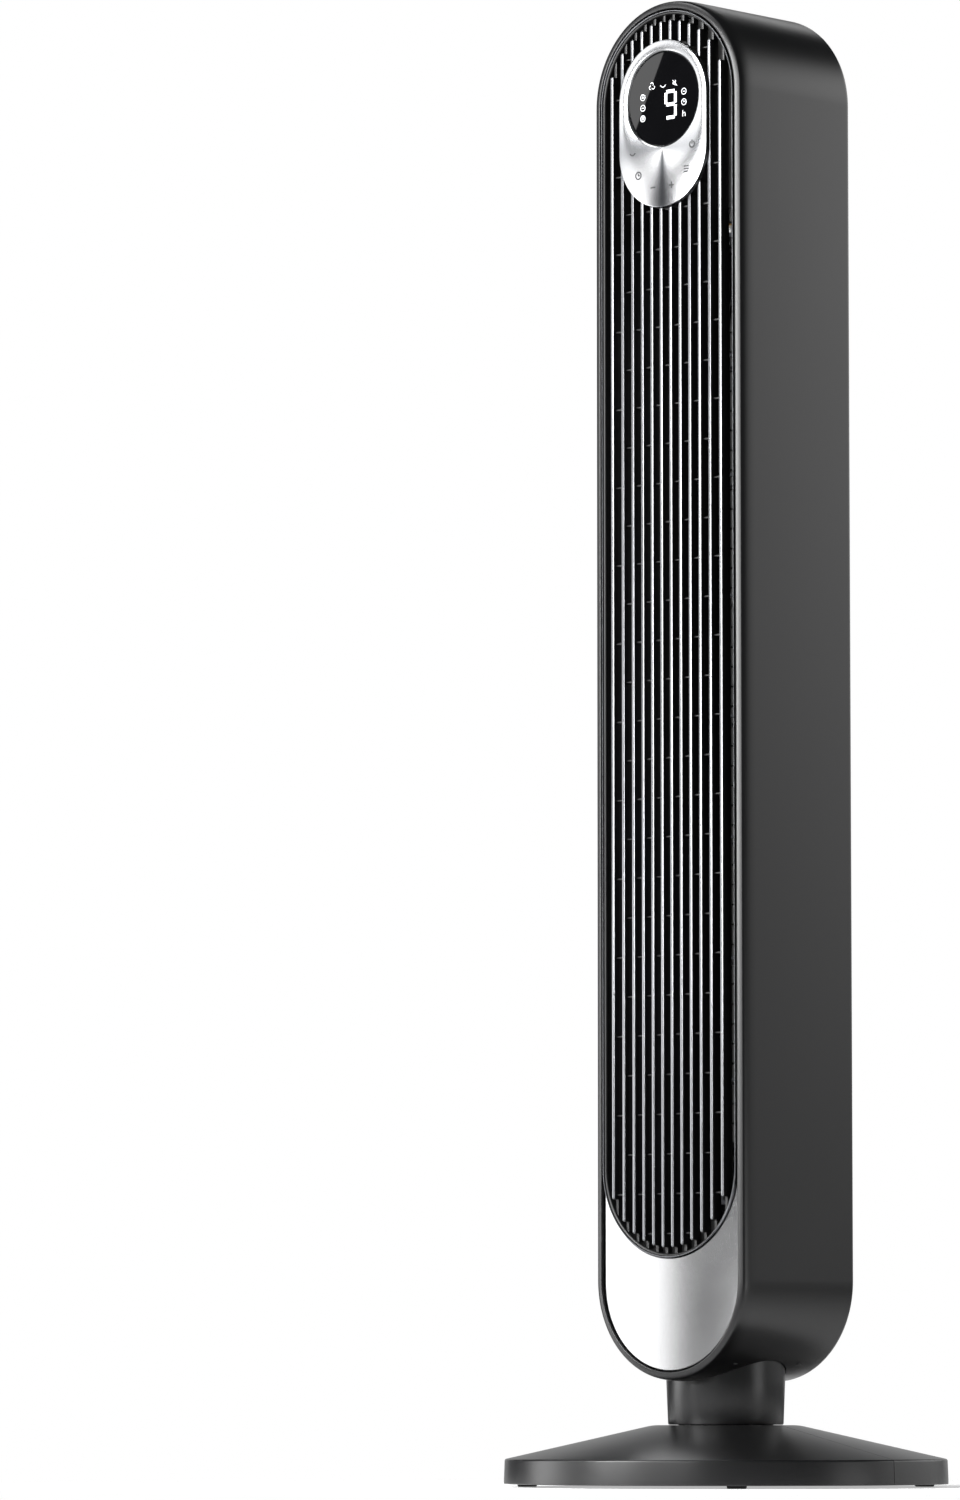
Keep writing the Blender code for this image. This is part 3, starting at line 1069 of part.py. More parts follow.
def build_panel(head):
    """Touch panel with its round display, in a pod let into the grille."""
    half = PANEL_HALF_WIDTH
    section = [
        (half - 0.0003, PANEL_BACK),
        (half, PANEL_BACK + 0.0004),
        (half, PANEL_FRONT - PANEL_EDGE),
        (half - PANEL_EDGE, PANEL_FRONT),
    ]
    shape = stadium_shape(section, PANEL_LOW_CENTRE, PANEL_TOP_CENTRE)
    panel = new_piece("control_panel", shape, "spun_aluminium", head)
    hole = WINDOW_RADIUS + FIT
    window_front = PANEL_FRONT - WINDOW_SETBACK
    profile = [
        (hole, -PANEL_BACK + 0.002),
        (hole, -window_front),
        (hole + WINDOW_CHAMFER * 1.12, -PANEL_FRONT - 0.0002),
    ]
    middle = (0, 0, PANEL_TOP_CENTRE)
    cut(panel, "window", turned_shape(profile, 40, middle, direction="Y"))

    window_back = window_front - WINDOW_THICKNESS
    disc = [(WINDOW_RADIUS, -window_back), (WINDOW_RADIUS, -window_front)]
    shape = turned_shape(disc, 40, middle, direction="Y")
    new_piece("display_window", shape, "smoked_acrylic", head)

    pod_front = PANEL_BACK - FIT
    cup = [
        (POD_HALF_WIDTH, POD_BACK),
        (POD_HALF_WIDTH, pod_front),
        (POD_INNER_HALF_WIDTH, pod_front),
        (POD_INNER_HALF_WIDTH, POD_BACK + POD_WALL),
    ]
    shape = stadium_shape(cup, PANEL_LOW_CENTRE, PANEL_TOP_CENTRE)
    new_piece("panel_pod", shape, "moulded_black_abs", head)

    guide_front = min(window_back, PANEL_BACK) - FIT
    guide_back = guide_front - LIGHT_GUIDE_THICKNESS
    guide_radius = WINDOW_RADIUS - LIGHT_GUIDE_INSET
    disc = [(guide_radius, -guide_back), (guide_radius, -guide_front)]
    shape = turned_shape(disc, 32, middle, direction="Y")
    new_piece("light_guide", shape, "milky_polycarbonate", head)

    board_front = guide_back - FIT
    board = POD_INNER_HALF_WIDTH - 2 * FIT
    section = [(board, board_front), (board, board_front - DISPLAY_BOARD_THICKNESS)]
    shape = stadium_shape(section, PANEL_LOW_CENTRE, PANEL_TOP_CENTRE)
    new_piece("display_board", shape, "green_circuit_board", head)

    pad_front = PANEL_BACK - FIT
    drop = POD_INNER_HALF_WIDTH - TOUCH_PAD_RISE
    pad_half = math.sqrt(POD_INNER_HALF_WIDTH ** 2 - drop ** 2) - TOUCH_PAD_MARGIN
    pad_low = PANEL_LOW_CENTRE - drop
    low = (-pad_half, -pad_front, pad_low)
    high = (pad_half, -pad_front + TOUCH_PAD_THICKNESS, pad_low + TOUCH_PAD_HEIGHT)
    new_piece("touch_sensor_film", box_shape(low, high), "black_pvc", head)


# ---------------------------------------------------------------- inside the head
def build_bulkheads(head):
    """Plates that close the duct at both ends, and the baffles behind the grille's round ends."""
    half = INNER_HALF_WIDTH - FIT
    front = -BULKHEAD_FRONT
    underside = LOWER_BULKHEAD
    drop = underside - LOWER_BAFFLE_DROP
    baffle_back = front + BAFFLE_THICKNESS
    low = (-half, front, underside)
    high = (half, BULKHEAD_REAR, underside + BULKHEAD_THICKNESS)
    lower = new_piece("lower_bulkhead", box_shape(low, high), "moulded_black_abs", head)
    baffle_half = LEDGE_HALF_WIDTH - 0.001
    baffle = box_shape((-baffle_half, front, drop), (baffle_half, baffle_back, underside + 0.001))
    join(lower, "baffle", baffle)
    shaft_hole = MOTOR_SHAFT_RADIUS + 0.006
    bore = [(shaft_hole, underside - 0.001), (shaft_hole, DUCT_FLOOR + 0.001)]
    tools = [turned_shape(bore, 20, (0, IMPELLER_BEHIND, 0)), harness_hole_shape(underside)]
    for place in motor_screws():
        tools.append(screw_hole_shape(place, underside - 0.001, DUCT_FLOOR))
    cut(lower, "holes", merged_shape(tools))

    low = (-half, front, UPPER_BULKHEAD)
    high = (half, BULKHEAD_REAR, UPPER_BULKHEAD + BULKHEAD_THICKNESS)
    upper = new_piece("upper_bulkhead", box_shape(low, high), "moulded_black_abs", head)
    seat = BEARING_RUBBER_RADIUS + FIT
    bore = [(seat, UPPER_BULKHEAD - 0.001), (seat, UPPER_BULKHEAD + BULKHEAD_THICKNESS + 0.001)]
    tools = [turned_shape(bore, 20, (0, IMPELLER_BEHIND, 0)), harness_hole_shape(UPPER_BULKHEAD)]
    cut(upper, "holes", merged_shape(tools))

    baffle_low = UPPER_BULKHEAD + BULKHEAD_THICKNESS + FIT
    outline = [(baffle_half, front, baffle_low)]
    for step in range(ARC_STEPS + 1):
        angle = math.pi * step / ARC_STEPS
        x = baffle_half * math.cos(angle)
        outline.append((x, front, HEAD_HIGH_CENTRE + baffle_half * math.sin(angle)))
    outline.append((-baffle_half, front, baffle_low))
    shape = prism_shape(outline, (0, BAFFLE_THICKNESS, 0))
    baffle = new_piece("upper_baffle", shape, "moulded_black_abs", head)
    x, _, z = HARNESS_EXIT
    hole = HARNESS_HOLE_HALF_WIDTH
    hole_low = (x - hole, front - 0.001, z - hole)
    hole_high = (x + hole, baffle_back + 0.001, z + hole)
    cut(baffle, "harness_hole", box_shape(hole_low, hole_high))


def harness_hole_shape(low):
    radius = HARNESS_RADIUS + HARNESS_CLEARANCE
    profile = [(radius, low - 0.001), (radius, low + BULKHEAD_THICKNESS + 0.001)]
    return turned_shape(profile, 12, (HARNESS_ACROSS, -HARNESS_FRONT, 0))


def build_duct(head):
    """Spiral volute on the left and stabiliser tongue on the right of the impeller."""
    low = DUCT_FLOOR + FIT
    high = UPPER_BULKHEAD - FIT
    mouth_half = INSERT_HALF_WIDTH - DUCT_MOUTH_INSET
    mouth_y = -BULKHEAD_FRONT + 0.001
    volute = []
    spiral_steps = 7
    for step in range(spiral_steps + 1):
        share = step / spiral_steps
        angle = math.radians(VOLUTE_START_ANGLE + VOLUTE_SWEEP * share)
        gap = VOLUTE_START_GAP + (VOLUTE_END_GAP - VOLUTE_START_GAP) * share ** VOLUTE_GROWTH
        radius = IMPELLER_RADIUS + gap + DUCT_WALL / 2
        volute.append((radius * math.cos(angle), IMPELLER_BEHIND + radius * math.sin(angle)))
    volute.append((-mouth_half, mouth_y))
    shape = ribbon_shape(volute, DUCT_WALL, low, high)
    new_piece("duct_volute", shape, "moulded_black_abs", head)

    radius = IMPELLER_RADIUS + TONGUE_GAP + DUCT_WALL / 2
    tongue = [(radius + TONGUE_HEEL_OUT, IMPELLER_BEHIND - TONGUE_HEEL_FORWARD)]
    for angle in TONGUE_NOSE_ANGLES:
        turn = math.radians(angle)
        tongue.append((radius * math.cos(turn), IMPELLER_BEHIND + radius * math.sin(turn)))
    tongue.append((radius + TONGUE_KNEE_OUT, IMPELLER_BEHIND - TONGUE_KNEE_FORWARD))
    tongue.append((mouth_half, mouth_y))
    shape = ribbon_shape(tongue, DUCT_WALL, low, high)
    new_piece("duct_tongue", shape, "moulded_black_abs", head)


def build_impeller(head, axis):
    """Cross-flow impeller, its shaft, hub and top pin, and the bush that the pin runs in."""
    middle = (0, IMPELLER_BEHIND, 0)
    hub_hole = HUB_RADIUS + FIT
    pin_hole = TOP_PIN_RADIUS + FIT
    inner = IMPELLER_RADIUS - BLADE_CHORD - 0.001
    span = IMPELLER_HIGH - IMPELLER_LOW - IMPELLER_DISC
    bays = IMPELLER_MID_DISCS + 1
    heights = [IMPELLER_LOW + span * index / bays for index in range(bays + 1)]
    discs = []
    for index, height in enumerate(heights):
        bore = inner
        if index == 0:
            bore = hub_hole
        if index == len(heights) - 1:
            bore = pin_hole
        top = height + IMPELLER_DISC
        ring = [(bore, height), (IMPELLER_RADIUS, height), (IMPELLER_RADIUS, top), (bore, top)]
        discs.append(turned_shape(ring, 20, middle, ring=True))
    impeller = new_piece("impeller", discs[0], "grey_polypropylene", axis)
    blades = []
    for index in range(BLADE_COUNT):
        turn = 2 * math.pi * (index + 0.5) / BLADE_COUNT
        points = []
        for share in (0.0, 1.0):
            radius = IMPELLER_RADIUS - 0.0006 - BLADE_CHORD * (1 - share)
            lean = turn + math.radians(16) * (1 - share) ** 1.6
            points.append((radius * math.cos(lean), IMPELLER_BEHIND + radius * math.sin(lean)))
        low = IMPELLER_LOW + IMPELLER_DISC / 2
        high = IMPELLER_HIGH - IMPELLER_DISC / 2
        blades.append(ribbon_shape(points, BLADE_THICKNESS, low, high))
    join(impeller, "blades", merged_shape(discs[1:] + blades))

    hub_low = IMPELLER_LOW - 0.004
    bore = MOTOR_SHAFT_RADIUS + FIT
    ring = [
        (bore, hub_low),
        (HUB_RADIUS, hub_low),
        (HUB_RADIUS, hub_low + HUB_HEIGHT),
        (bore, hub_low + HUB_HEIGHT),
    ]
    new_piece("impeller_hub", turned_shape(ring, 24, middle, ring=True), "black_rubber", axis)
    rod = [
        (MOTOR_SHAFT_RADIUS, MOTOR_TOP - MOTOR_SHAFT_DEPTH),
        (MOTOR_SHAFT_RADIUS, hub_low + HUB_HEIGHT - 0.001),
    ]
    new_piece("motor_shaft", turned_shape(rod, 16, middle), "ground_steel", axis)

    bush_low = UPPER_BULKHEAD + BULKHEAD_THICKNESS / 2 - BUSH_HEIGHT / 2
    pin = [
        (TOP_PIN_RADIUS + 0.004, IMPELLER_HIGH - IMPELLER_DISC - FIT - 0.002),
        (TOP_PIN_RADIUS + 0.004, IMPELLER_HIGH - IMPELLER_DISC - FIT),
        (TOP_PIN_RADIUS, IMPELLER_HIGH - IMPELLER_DISC - FIT),
        (TOP_PIN_RADIUS, bush_low + BUSH_HEIGHT),
    ]
    new_piece("impeller_top_pin", turned_shape(pin, 16, middle), "ground_steel", axis)
    bore = TOP_PIN_RADIUS + RUNNING_FIT
    bush = [
        (bore, bush_low),
        (BUSH_RADIUS, bush_low),
        (BUSH_RADIUS, bush_low + BUSH_HEIGHT),
        (bore, bush_low + BUSH_HEIGHT),
    ]
    new_piece("top_bearing_bush", turned_shape(bush, 20, middle, ring=True), "sintered_bronze", head)
    bore = BUSH_RADIUS + FIT
    rubber = [
        (bore, bush_low + 0.001),
        (BEARING_RUBBER_RADIUS, bush_low + 0.001),
        (BEARING_RUBBER_RADIUS, bush_low + BUSH_HEIGHT - 0.001),
        (bore, bush_low + BUSH_HEIGHT - 0.001),
    ]
    new_piece("bearing_rubber", turned_shape(rubber, 20, middle, ring=True), "black_rubber", head)


def motor_screws():
    across = MOTOR_RADIUS + 2 * FIT + MOTOR_STRAP_THICKNESS + MOTOR_STRAP_EAR / 2
    return [Vector((side * across, IMPELLER_BEHIND, 0)) for side in (-1, 1)]


def build_motor(head):
    """Induction motor hung under the lower bulkhead in a strap, on a rubber ring."""
    middle = (0, IMPELLER_BEHIND, 0)
    profile = [
        (MOTOR_RADIUS - 0.003, MOTOR_BOTTOM),
        (MOTOR_RADIUS, MOTOR_BOTTOM + 0.003),
        (MOTOR_RADIUS, MOTOR_TOP - 0.003),
        (MOTOR_RADIUS - 0.003, MOTOR_TOP),
    ]
    motor = new_piece("impeller_motor", turned_shape(profile, 28, middle), "galvanised_sheet", head)
    socket = MOTOR_SHAFT_RADIUS + RUNNING_FIT
    bore = [(socket, MOTOR_TOP - MOTOR_SHAFT_DEPTH - 0.001), (socket, MOTOR_TOP + 0.002)]
    cut(motor, "shaft_socket", turned_shape(bore, 16, middle))

    ring_low = MOTOR_TOP + FIT
    ring_high = ring_low + MOTOR_RUBBER_THICKNESS
    inner = MOTOR_SHAFT_RADIUS + 0.008
    outer = MOTOR_RADIUS - 0.004
    ring = [(inner, ring_low), (outer, ring_low), (outer, ring_high), (inner, ring_high)]
    new_piece("motor_rubber_ring", turned_shape(ring, 28, middle, ring=True), "black_rubber", head)

    sheet = MOTOR_STRAP_THICKNESS
    inside = MOTOR_RADIUS + 2 * FIT
    outside = inside + sheet
    toe = outside + MOTOR_STRAP_EAR
    ear_top = LOWER_BULKHEAD - FIT
    floor_top = MOTOR_BOTTOM - FIT
    right_side = [
        (inside, floor_top),
        (inside, ear_top),
        (toe, ear_top),
        (toe, ear_top - sheet),
        (outside, ear_top - sheet),
        (outside, floor_top - sheet),
    ]
    left_side = [(-x, z) for x, z in right_side[::-1]]
    start = IMPELLER_BEHIND - MOTOR_STRAP_HALF_DEPTH
    outline = [(x, start, z) for x, z in right_side + left_side]
    shape = prism_shape(outline, (0, 2 * MOTOR_STRAP_HALF_DEPTH, 0))
    strap = new_piece("motor_strap", shape, "galvanised_sheet", head)
    tools = [screw_hole_shape(place, ear_top - sheet, ear_top) for place in motor_screws()]
    cut(strap, "holes", merged_shape(tools))
    for index, place in enumerate(motor_screws()):
        head_low = ear_top - sheet - FIT - SCREW_HEAD_HEIGHT
        shape = screw_shape(head_low, sheet + SHEET_SCREW_BITE, place, facing=-1)
        new_piece(f"motor_strap_screw_{index + 1}", shape, "zinc_plated_steel", head)


def build_electrics(head):
    """Main board behind the fascia, and the wire loom up to the display."""
    back = -MAIN_BOARD_FRONT + BOARD_THICKNESS
    low = (-MAIN_BOARD_HALF_WIDTH, -MAIN_BOARD_FRONT, MAIN_BOARD_BOTTOM)
    high = (MAIN_BOARD_HALF_WIDTH, back, MAIN_BOARD_TOP)
    board = new_piece("main_board", box_shape(low, high), "green_circuit_board", head)
    sink = BOARD_THICKNESS / 2
    parts = []
    for x, rise, half_width, half_height, depth in BOARD_PARTS:
        z = MAIN_BOARD_BOTTOM + rise
        low = (x - half_width, back - sink, z - half_height)
        high = (x + half_width, back + depth, z + half_height)
        parts.append(box_shape(low, high))
    join(board, "parts", merged_shape(parts))

    across = HARNESS_ACROSS
    front = -HARNESS_FRONT
    x, y, z = HARNESS_EXIT
    knots = [
        (x, y, z),
        (x, y + 0.010, z),
        (x + 0.016, y + 0.016, z - 0.008),
        (across - 0.006, front, UPPER_BULKHEAD + 0.030),
        (across, front, UPPER_BULKHEAD + 0.014),
        (across, front, UPPER_BULKHEAD - 0.020),
        (across, front, (UPPER_BULKHEAD + DUCT_FLOOR) / 2),
        (across, front, DUCT_FLOOR + 0.020),
        (across, front, LOWER_BULKHEAD - 0.010),
        (across - 0.008, front - 0.001, LOWER_BULKHEAD - 0.024),
        (MAIN_BOARD_HALF_WIDTH + 0.012, front - 0.005, MAIN_BOARD_TOP - 0.012),
        (MAIN_BOARD_HALF_WIDTH + FIT + 0.0005, front - 0.0086, MAIN_BOARD_TOP - 0.016),
    ]
    curve = bpy.data.curves.new("display_loom", "CURVE")
    curve.dimensions = "3D"
    spline = curve.splines.new("POLY")
    spline.points.add(len(knots) - 1)
    origin = parent_place(head)
    for point, knot in zip(spline.points, knots):
        point.co = (*(Vector(knot) - origin), 1.0)
    curve.bevel_depth = HARNESS_RADIUS
    curve.bevel_resolution = 1
    curve.use_fill_caps = True
    curve.materials.append(new_material("display_loom", "black_pvc"))
    place_piece("display_loom", curve, head)


# ---------------------------------------------------------------- assembly
for old_object in list(bpy.data.objects):
    bpy.data.objects.remove(old_object, do_unlink=True)

base_body = new_axis("base_body", (0, 0, 0))
head_body = new_axis("head_swivel_axis", (0, 0, TURNTABLE_BOTTOM), base_body)
impeller_body = new_axis("impeller_axis", (0, IMPELLER_BEHIND, IMPELLER_LOW), head_body)
pinion_body = new_axis("pinion_axis", (0, GEAR_SPACING, GEAR_BOTTOM), head_body)

build_base(base_body)
build_neck(base_body)
build_casing(head_body)
build_front(head_body)
build_panel(head_body)
build_rear(head_body)
build_bulkheads(head_body)
build_duct(head_body)
build_impeller(head_body, impeller_body)
build_motor(head_body)
build_electrics(head_body)
build_swing_drive(head_body, pinion_body)
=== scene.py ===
"""Finished look of an oscillating tower fan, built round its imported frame."""

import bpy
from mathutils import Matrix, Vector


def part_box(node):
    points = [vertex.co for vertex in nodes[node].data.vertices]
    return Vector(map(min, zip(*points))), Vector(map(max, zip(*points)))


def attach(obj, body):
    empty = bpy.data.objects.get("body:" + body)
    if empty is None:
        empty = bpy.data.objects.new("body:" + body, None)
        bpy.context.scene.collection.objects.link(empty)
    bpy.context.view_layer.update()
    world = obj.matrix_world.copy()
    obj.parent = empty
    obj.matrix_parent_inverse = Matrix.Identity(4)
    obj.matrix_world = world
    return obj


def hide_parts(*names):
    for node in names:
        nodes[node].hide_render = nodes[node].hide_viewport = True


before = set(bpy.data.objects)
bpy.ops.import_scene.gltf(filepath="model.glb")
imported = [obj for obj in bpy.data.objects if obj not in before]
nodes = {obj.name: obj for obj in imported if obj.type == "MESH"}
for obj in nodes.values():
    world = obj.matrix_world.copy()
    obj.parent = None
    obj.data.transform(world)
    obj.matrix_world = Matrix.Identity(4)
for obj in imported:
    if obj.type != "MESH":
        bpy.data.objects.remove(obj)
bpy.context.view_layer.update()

import math

import bmesh
import bpy
from mathutils import Matrix, Vector

# ---------------------------------------------------------------- studio
# A white studio with a pale floor. A tall soft light stands at the front left with a slanted
# edge, strips of falling brightness beside it and low soft lights round the base. The room gets
# lighter with height behind the fan, and the pale floor goes on below the horizon.


def linear(hex_colour):
    """Linear RGBA of an sRGB hex colour."""
    channels = [int(hex_colour[place:place + 2], 16) / 255 for place in (1, 3, 5)]
    channels = [c / 12.92 if c <= 0.04045 else ((c + 0.055) / 1.055) ** 2.4 for c in channels]
    return (*channels, 1.0)


def add_node(tree, kind, inputs=None, **settings):
    """Add a node: settings are its properties, inputs its socket values or what feeds them."""
    node = tree.nodes.new(kind)
    for name, value in settings.items():
        setattr(node, name, value)
    for socket, value in (inputs or {}).items():
        if isinstance(value, bpy.types.NodeSocket):
            tree.links.new(value, node.inputs[socket])
        else:
            node.inputs[socket].default_value = value
    return node


def new_material(name, **constants):
    """A Principled material; constants are set on the shader's own sockets."""
    material = bpy.data.materials.new(name)
    material.use_nodes = True
    shader = material.node_tree.nodes["Principled BSDF"]
    for socket, value in constants.items():
        shader.inputs[socket.replace("_", " ")].default_value = value
    return material, material.node_tree, shader


bpy.context.scene.view_settings.view_transform = "Standard"

VIEW_AZIMUTH = math.radians(42)
VIEW_DISTANCE = 5.385
VIEW_HEIGHT = 0.0545
VIEW_PITCH = math.radians(5.03)
VIEW_YAW = math.radians(1.87)
camera_data = bpy.data.cameras.new("studio_camera")
camera_data.lens = 180
camera_data.sensor_width = 36
camera = bpy.data.objects.new("studio_camera", camera_data)
bpy.context.scene.collection.objects.link(camera)
camera.location = (
    VIEW_DISTANCE * math.sin(VIEW_AZIMUTH),
    -VIEW_DISTANCE * math.cos(VIEW_AZIMUTH),
    VIEW_HEIGHT,
)
camera.rotation_euler = (math.pi / 2 + VIEW_PITCH, 0, VIEW_AZIMUTH + VIEW_YAW)
bpy.context.scene.camera = camera

ROOM_DARK = "#232425"
ROOM_LIGHT = "#ffffff"
ROOM_GLOW = 2.2
ROOM_LOW = -0.01
ROOM_HIGH = 0.20
ROOM_BACK_AZIMUTH = math.radians(160)
ROOM_BACK_EDGE = 0.79
ROOM_BACK_FULL = 0.91
ZENITH_START = 0.45
ZENITH_END = 0.85
ZENITH_SHADE = 0.1
GROUND_START = -0.06
GROUND_END = -0.25
GROUND_SHARE = 0.25
world = bpy.data.worlds.new("studio_room")
bpy.context.scene.world = world
world.use_nodes = True
tree = world.node_tree
tree.nodes.clear()
way = add_node(tree, "ShaderNodeTexCoord")
parts = add_node(tree, "ShaderNodeSeparateXYZ", {0: way.outputs["Generated"]})
height = add_node(
    tree,
    "ShaderNodeMapRange",
    {"Value": parts.outputs["Z"], "From Min": ROOM_LOW, "From Max": ROOM_HIGH},
)
back_way = (math.sin(ROOM_BACK_AZIMUTH), -math.cos(ROOM_BACK_AZIMUTH), 0)
behind = add_node(
    tree,
    "ShaderNodeVectorMath",
    {0: way.outputs["Generated"], 1: back_way},
    operation="DOT_PRODUCT",
)
depth = add_node(
    tree,
    "ShaderNodeMapRange",
    {
        "Value": behind.outputs["Value"],
        "From Min": ROOM_BACK_EDGE,
        "From Max": ROOM_BACK_FULL,
    },
    interpolation_type="SMOOTHSTEP",
)
overhead_dark = add_node(
    tree,
    "ShaderNodeMapRange",
    {
        "Value": parts.outputs["Z"],
        "From Min": ZENITH_START,
        "From Max": ZENITH_END,
        "To Min": 1.0,
        "To Max": ZENITH_SHADE,
    },
    interpolation_type="SMOOTHSTEP",
)
seen = add_node(
    tree,
    "ShaderNodeMath",
    {0: height.outputs["Result"], 1: overhead_dark.outputs["Result"]},
    operation="MULTIPLY",
)
both = add_node(
    tree,
    "ShaderNodeMath",
    {0: seen.outputs["Value"], 1: depth.outputs["Result"]},
    operation="MULTIPLY",
)
below = add_node(
    tree,
    "ShaderNodeMapRange",
    {
        "Value": parts.outputs["Z"],
        "From Min": GROUND_START,
        "From Max": GROUND_END,
        "To Max": GROUND_SHARE,
    },
)
lit_part = add_node(
    tree,
    "ShaderNodeMath",
    {0: both.outputs["Value"], 1: below.outputs["Result"]},
    operation="MAXIMUM",
)
room_colour = add_node(
    tree,
    "ShaderNodeMix",
    {"Factor": lit_part.outputs["Value"], 6: linear(ROOM_DARK), 7: linear(ROOM_LIGHT)},
    data_type="RGBA",
)
room = add_node(
    tree,
    "ShaderNodeBackground",
    {"Color": room_colour.outputs[2], "Strength": ROOM_GLOW},
)
backdrop = add_node(tree, "ShaderNodeBackground", {"Color": (1, 1, 1, 1), "Strength": 1.0})
rays = add_node(tree, "ShaderNodeLightPath")
chosen = add_node(
    tree,
    "ShaderNodeMixShader",
    {0: rays.outputs["Is Camera Ray"], 1: room.outputs[0], 2: backdrop.outputs[0]},
)
add_node(tree, "ShaderNodeOutputWorld", {"Surface": chosen.outputs[0]})


def add_softbox(name, azimuth, distance, middle, size, radiance, lean=0):
    """A soft light facing the fan from an azimuth round it; lean turns it in its own plane."""
    data = bpy.data.lights.new(name, "AREA")
    data.shape = "RECTANGLE"
    data.size, data.size_y = size
    data.energy = radiance * math.pi * size[0] * size[1]
    light = bpy.data.objects.new(name, data)
    bpy.context.scene.collection.objects.link(light)
    turn = math.radians(azimuth)
    light.location = (distance * math.sin(turn), -distance * math.cos(turn), middle)
    light.rotation_euler = (math.pi / 2, 0, turn)
    light.rotation_euler.rotate_axis("Z", math.radians(lean))


# Azimuth, distance, height of the middle, width and height, radiance and lean of each light.
add_softbox("left_softbox", -57.5, 2.2, 0.95, (0.86, 2.9), 2.3, -20)
add_softbox("low_left_softbox", -56, 2.2, 0.22, (1.15, 0.55), 1.8)
add_softbox("near_strip", -24, 2.2, 1.13, (0.30, 1.5), 24.0)
add_softbox("middle_strip", -12, 2.2, 1.13, (0.55, 1.5), 14.0)
add_softbox("far_strip", 12, 2.2, 1.13, (1.10, 1.5), 5.0)
add_softbox("low_front_softbox", -27, 2.2, 0.0, (0.60, 0.34), 1.5)
add_softbox("low_right_softbox", 108, 2.2, 0.0, (0.80, 0.34), 3.0)
add_softbox("rear_softbox", 222, 2.6, 0.575, (2.6, 1.15), 0.65)
add_softbox("high_rear_softbox", 212, 2.6, 2.50, (0.80, 0.60), 1.2)
OVERHEAD_PLACE = Vector((-0.95, -1.05, 2.9))
OVERHEAD_AIM = Vector((0, 0, 1.0))
OVERHEAD_SIZE = 1.0
OVERHEAD_WATTS = 16
overhead = bpy.data.lights.new("overhead_softbox", "AREA")
overhead.size = OVERHEAD_SIZE
overhead.energy = OVERHEAD_WATTS
light = bpy.data.objects.new("overhead_softbox", overhead)
bpy.context.scene.collection.objects.link(light)
light.location = OVERHEAD_PLACE
light.rotation_euler = (OVERHEAD_PLACE - OVERHEAD_AIM).to_track_quat("Z", "Y").to_euler()

FLOOR_RADIUS = 1.6
FLOOR_DROP = 0.0002
FLOOR_GLOW = 0.45
FADE_START = 0.17
FADE_END = 0.62
floor_mesh = bpy.data.meshes.new("studio_floor")
shape = bmesh.new()
bmesh.ops.create_circle(shape, cap_ends=True, segments=96, radius=FLOOR_RADIUS)
bmesh.ops.translate(shape, verts=shape.verts, vec=(0, 0, -FLOOR_DROP))
shape.to_mesh(floor_mesh)
shape.free()
floor = bpy.data.objects.new("studio_floor", floor_mesh)
bpy.context.scene.collection.objects.link(floor)
# White background paper: matt, lit a little from within so that it meets the white room.
material, tree, shader = new_material("matt_white_paper", Roughness=0.9)
shader.inputs["Base Color"].default_value = linear("#fafafa")
shader.inputs["Emission Color"].default_value = (1, 1, 1, 1)
shader.inputs["Emission Strength"].default_value = FLOOR_GLOW
place = add_node(tree, "ShaderNodeTexCoord")
away = add_node(tree, "ShaderNodeVectorMath", {0: place.outputs["Object"]}, operation="LENGTH")
fade = add_node(
    tree,
    "ShaderNodeMapRange",
    {
        "Value": away.outputs["Value"],
        "From Min": FADE_START,
        "From Max": FADE_END,
        "To Min": 1.0,
        "To Max": 0.0,
    },
    interpolation_type="SMOOTHSTEP",
)
tree.links.new(fade.outputs["Result"], shader.inputs["Alpha"])
floor_mesh.materials.append(material)

# ---------------------------------------------------------------- base
# Two half discs of satin black ABS, moulded with a low cone on top and webs underneath. They
# meet on a fine joint line and are pinched together by the nut under the neck.


def bridged(loops, ring=False, closed=True):
    """A skin over loops of points: a ring is closed on itself, any other has filled ends."""
    shape = bmesh.new()
    rows = [[shape.verts.new(point) for point in loop] for loop in loops]
    pairs = list(zip(rows, rows[1:]))
    if ring:
        pairs.append((rows[-1], rows[0]))
    for first, second in pairs:
        count = len(first)
        for index in range(count if closed else count - 1):
            after = (index + 1) % count
            shape.faces.new((first[index], first[after], second[after], second[index]))
    if not ring:
        shape.faces.new(rows[0])
        shape.faces.new(rows[-1])
    return shape


def turned(profile, steps, centre=(0, 0, 0), direction="Z", ring=False):
    """Turn (radius, height) points round an axis through centre."""
    loops = []
    for radius, height in profile:
        loop = []
        for step in range(steps):
            angle = 2 * math.pi * step / steps
            point = Vector((radius * math.cos(angle), radius * math.sin(angle), height))
            if direction == "Y":
                point = Vector((point.x, point.z, -point.y))
            loop.append(point + Vector(centre))
        loops.append(loop)
    return bridged(loops, ring=ring)


def gathered(shapes):
    """Several closed shapes in one bmesh."""
    whole = bmesh.new()
    for shape in shapes:
        bmesh.ops.recalc_face_normals(shape, faces=shape.faces)
        scrap = bpy.data.meshes.new("scrap")
        shape.to_mesh(scrap)
        shape.free()
        whole.from_mesh(scrap)
        bpy.data.meshes.remove(scrap)
    return whole


WELD = 1e-6


